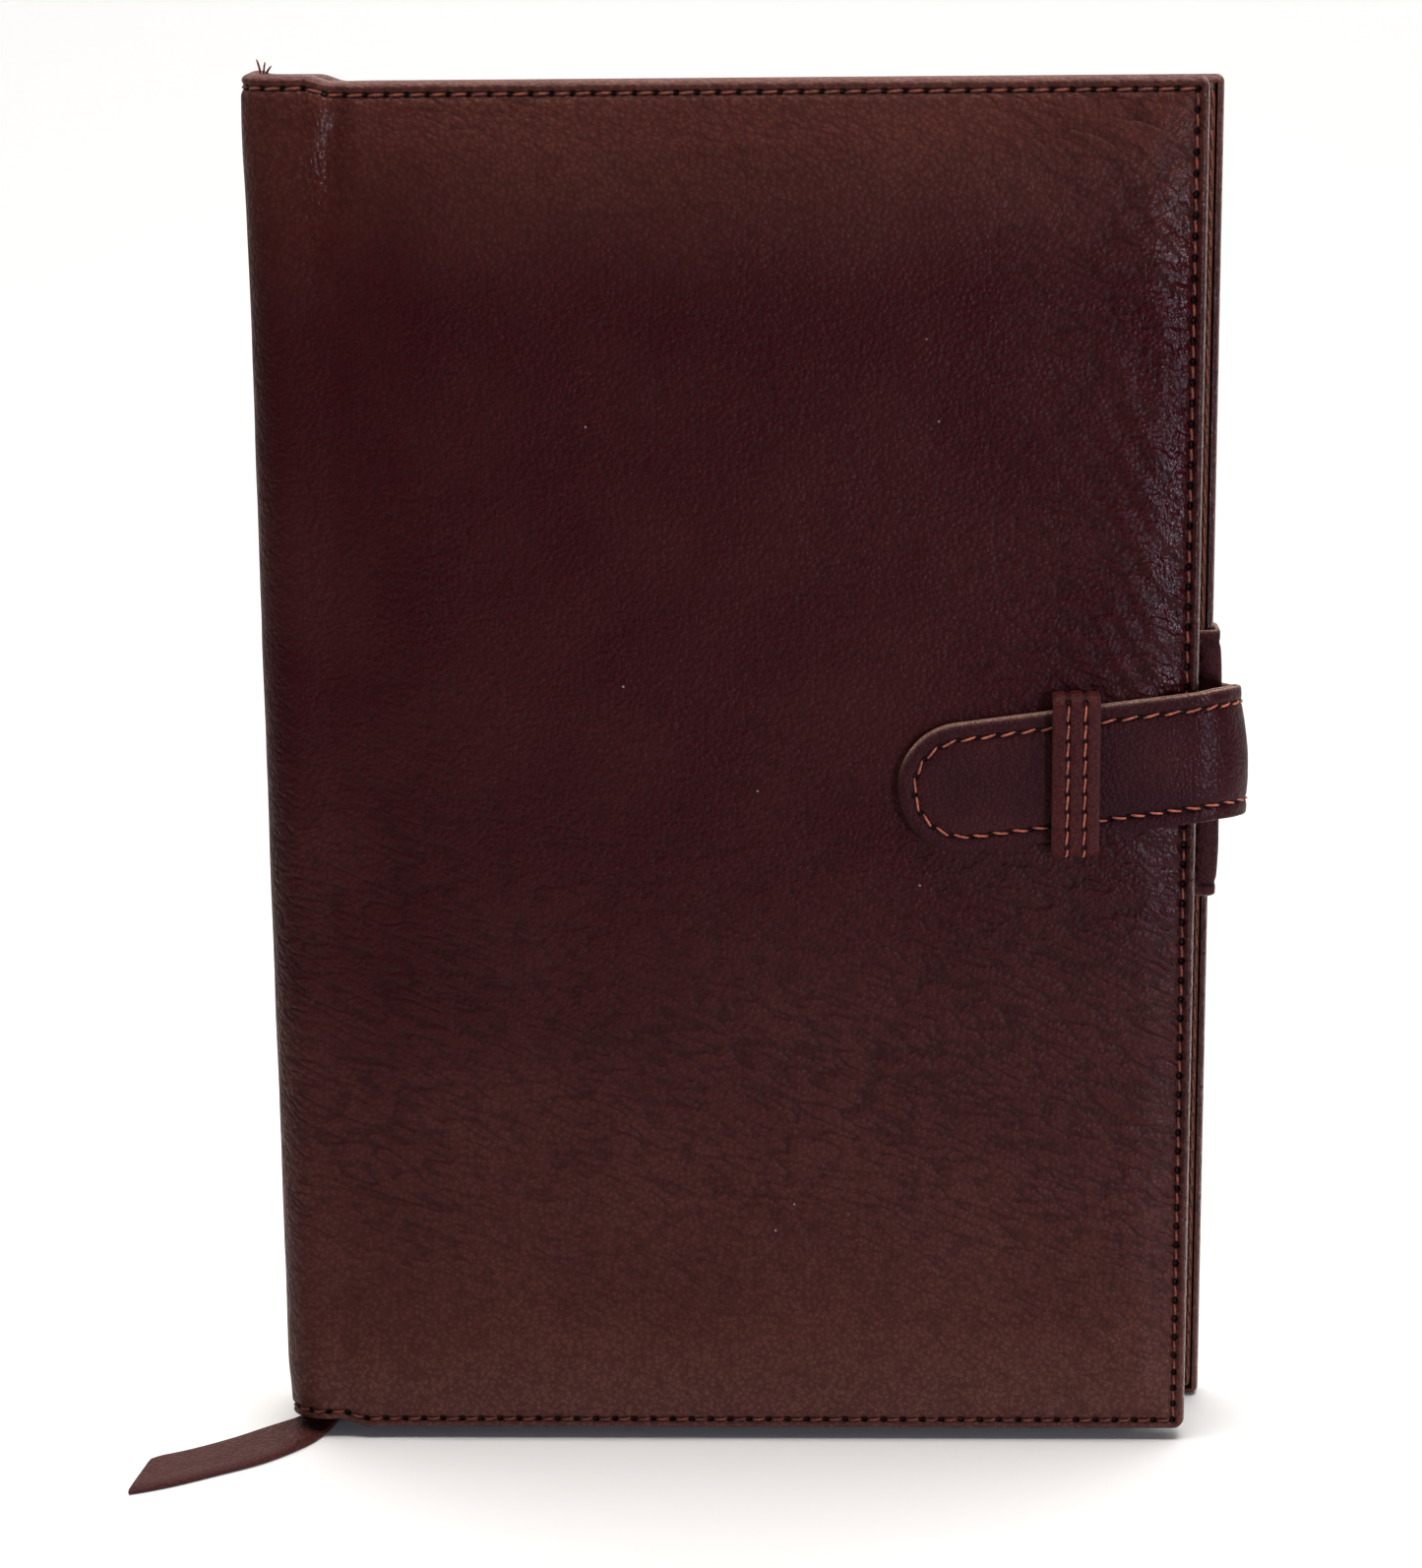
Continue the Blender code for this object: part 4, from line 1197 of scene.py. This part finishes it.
def signature(name):
    """Folded sheets, one inside the other, with the fold at the spine."""
    low, high = mm_box(name)
    middle, half = (low[1] + high[1]) / 2, (high[1] - low[1]) / 2
    fold_x = low[0] + half + 0.2
    points, faces = [], []
    for k in range(SHEETS):
        r = half - (half - PAPER_SKIN) * k / SHEETS
        fore = high[0] - 0.25 + rng.uniform(-0.22, 0.22)
        base = low[2] + rng.uniform(0.0, 0.12)
        top = high[2] - rng.uniform(0.05, 0.30)
        dips = [(fore, PAGE_CORNER), (fore - 0.25, 1.2), (fore - 0.9, 0.45), (fore - PAGE_CORNER, 0.0)]
        fold = [(fold_x - r * math.sin(a), -math.cos(a)) for a in np.linspace(0, math.pi, FOLD_STEPS + 1)]
        line = [(x, -1.0, dip) for x, dip in dips] + [(x, y, 0.0) for x, y in fold]
        line += [(x, 1.0, dip) for x, dip in dips[::-1]]
        first, n = len(points), len(line)
        for radius in (r, r - PAPER_SKIN):
            for x, y, dip in line:
                inward = x if abs(y) == 1.0 else fold_x + (x - fold_x) * radius / r
                points += [(inward, middle + y * radius, z) for z in (base + dip, top - dip)]
        rings = first + np.arange(4 * n).reshape(2, n, 2)
        faces += tube_faces(np.stack([rings[0, :, 0], rings[0, :, 1], rings[1, :, 1], rings[1, :, 0]], -1))
    piece = finish_mesh(f"{name}_leaves", points, faces, PAPER, sharp=40)
    fix_normals(piece)
    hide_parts(name)
    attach(piece, "back_cover")


for number in (1, 2, 3, 4):
    signature(f"page_signature_{number}")

# -------------------- looks of the CAD nodes

BOARDS = ("front_board", "back_board", "spine_stiffener")
CARDS = ("notebook_front_card", "notebook_back_card", "notebook_spine_card")
for nodes, look in ((BOARDS, BOARD), (CARDS, CARD)):
    for node in nodes:
        for holder in frame["nodes"][node].material_slots:
            holder.material = look

# -------------------- camera

CAMERA_LENS = 90.8  # mm, on a 36 mm sensor
CAMERA_PLACE = (0.0166, -0.6310, 0.2609)
PITCH_DOWN, YAW, ROLL = (math.radians(a) for a in (13.755, -1.844, -0.581))

camera_data = bpy.data.cameras.new("camera")
camera_data.lens = CAMERA_LENS
camera_data.sensor_width = 36.0
camera = bpy.data.objects.new("camera", camera_data)
bpy.context.collection.objects.link(camera)
forward = Vector((math.sin(YAW) * math.cos(PITCH_DOWN), math.cos(YAW) * math.cos(PITCH_DOWN),
                  -math.sin(PITCH_DOWN)))
sideways = Vector((math.cos(YAW), -math.sin(YAW), 0))
up = sideways.cross(forward)
right = math.cos(ROLL) * sideways + math.sin(ROLL) * up
over = -math.sin(ROLL) * sideways + math.cos(ROLL) * up
axes = Matrix((right, over, -forward)).transposed().to_4x4()
camera.matrix_world = Matrix.Translation(CAMERA_PLACE) @ axes
bpy.context.scene.camera = camera

# -------------------- stage, light

FLOOR_FRONT = -4.0
WALL_Y = 1.25
WALL_TURN = 0.5
WALL_TOP = 2.6
STAGE_HALF = 4.0
SKY = (0.95, 0.97, 1.0, 1)
SKY_STRENGTH = 0.10
GAMMA = 0.86

# name, place, aim, width, height, watts, colour, spread in degrees
LAMPS = (
    ("overhead", (0.0, 0.80, 1.15), (0, 0.80, 0), 2.8, 1.1, 23, (1.0, 0.98, 0.95), 180),
    ("near", (0.0, -0.07, 0.50), (0, -0.07, 0), 0.6, 0.20, 1.75, (1.0, 0.96, 0.92), 140),
    ("window", (0.40, -0.55, 0.10), (0.06, 0, 0.14), 0.05, 0.16, 2.0, (0.76, 0.84, 1.0), 180),
)


def backdrop():
    """A pale floor that sweeps up into a wall."""
    turn = [(WALL_Y - WALL_TURN + WALL_TURN * math.sin(a), WALL_TURN * (1 - math.cos(a)))
            for a in np.linspace(0, math.pi / 2, 24)]
    outline = [(FLOOR_FRONT, 0.0), *turn, (WALL_Y, WALL_TOP)]
    points = [(x, y, z) for y, z in outline for x in (-STAGE_HALF, STAGE_HALF)]
    faces = [(2 * i, 2 * i + 1, 2 * i + 3, 2 * i + 2) for i in range(len(outline) - 1)]
    mesh = bpy.data.meshes.new("backdrop")
    mesh.from_pydata(points, [], faces)
    mesh.shade_smooth()
    n = Nodes("backdrop_paper")
    n.set(Base_Color=(0.94, 0.94, 0.94), Roughness=0.6, Specular_IOR_Level=0.2)
    mesh.materials.append(n.material)
    sweep = bpy.data.objects.new("backdrop", mesh)
    bpy.context.collection.objects.link(sweep)


def lamp(name, place, aim, width, height, watts, colour, spread):
    """A soft box aimed at a point, which the camera doesn't see."""
    data = bpy.data.lights.new(name, "AREA")
    data.shape = "RECTANGLE"
    data.size, data.size_y = width, height
    data.energy = watts
    data.color = colour
    data.spread = math.radians(spread)
    light = bpy.data.objects.new(name, data)
    bpy.context.collection.objects.link(light)
    light.visible_camera = False
    light.location = place
    light.rotation_euler = (Vector(aim) - Vector(place)).to_track_quat("-Z", "Y").to_euler()


backdrop()
world = bpy.data.worlds.new("studio")
bpy.context.scene.world = world
world.use_nodes = True
background = world.node_tree.nodes["Background"]
background.inputs["Color"].default_value = SKY
background.inputs["Strength"].default_value = SKY_STRENGTH
for settings in LAMPS:
    lamp(*settings)
bpy.context.scene.view_settings.view_transform = "Standard"
bpy.context.scene.view_settings.gamma = GAMMA
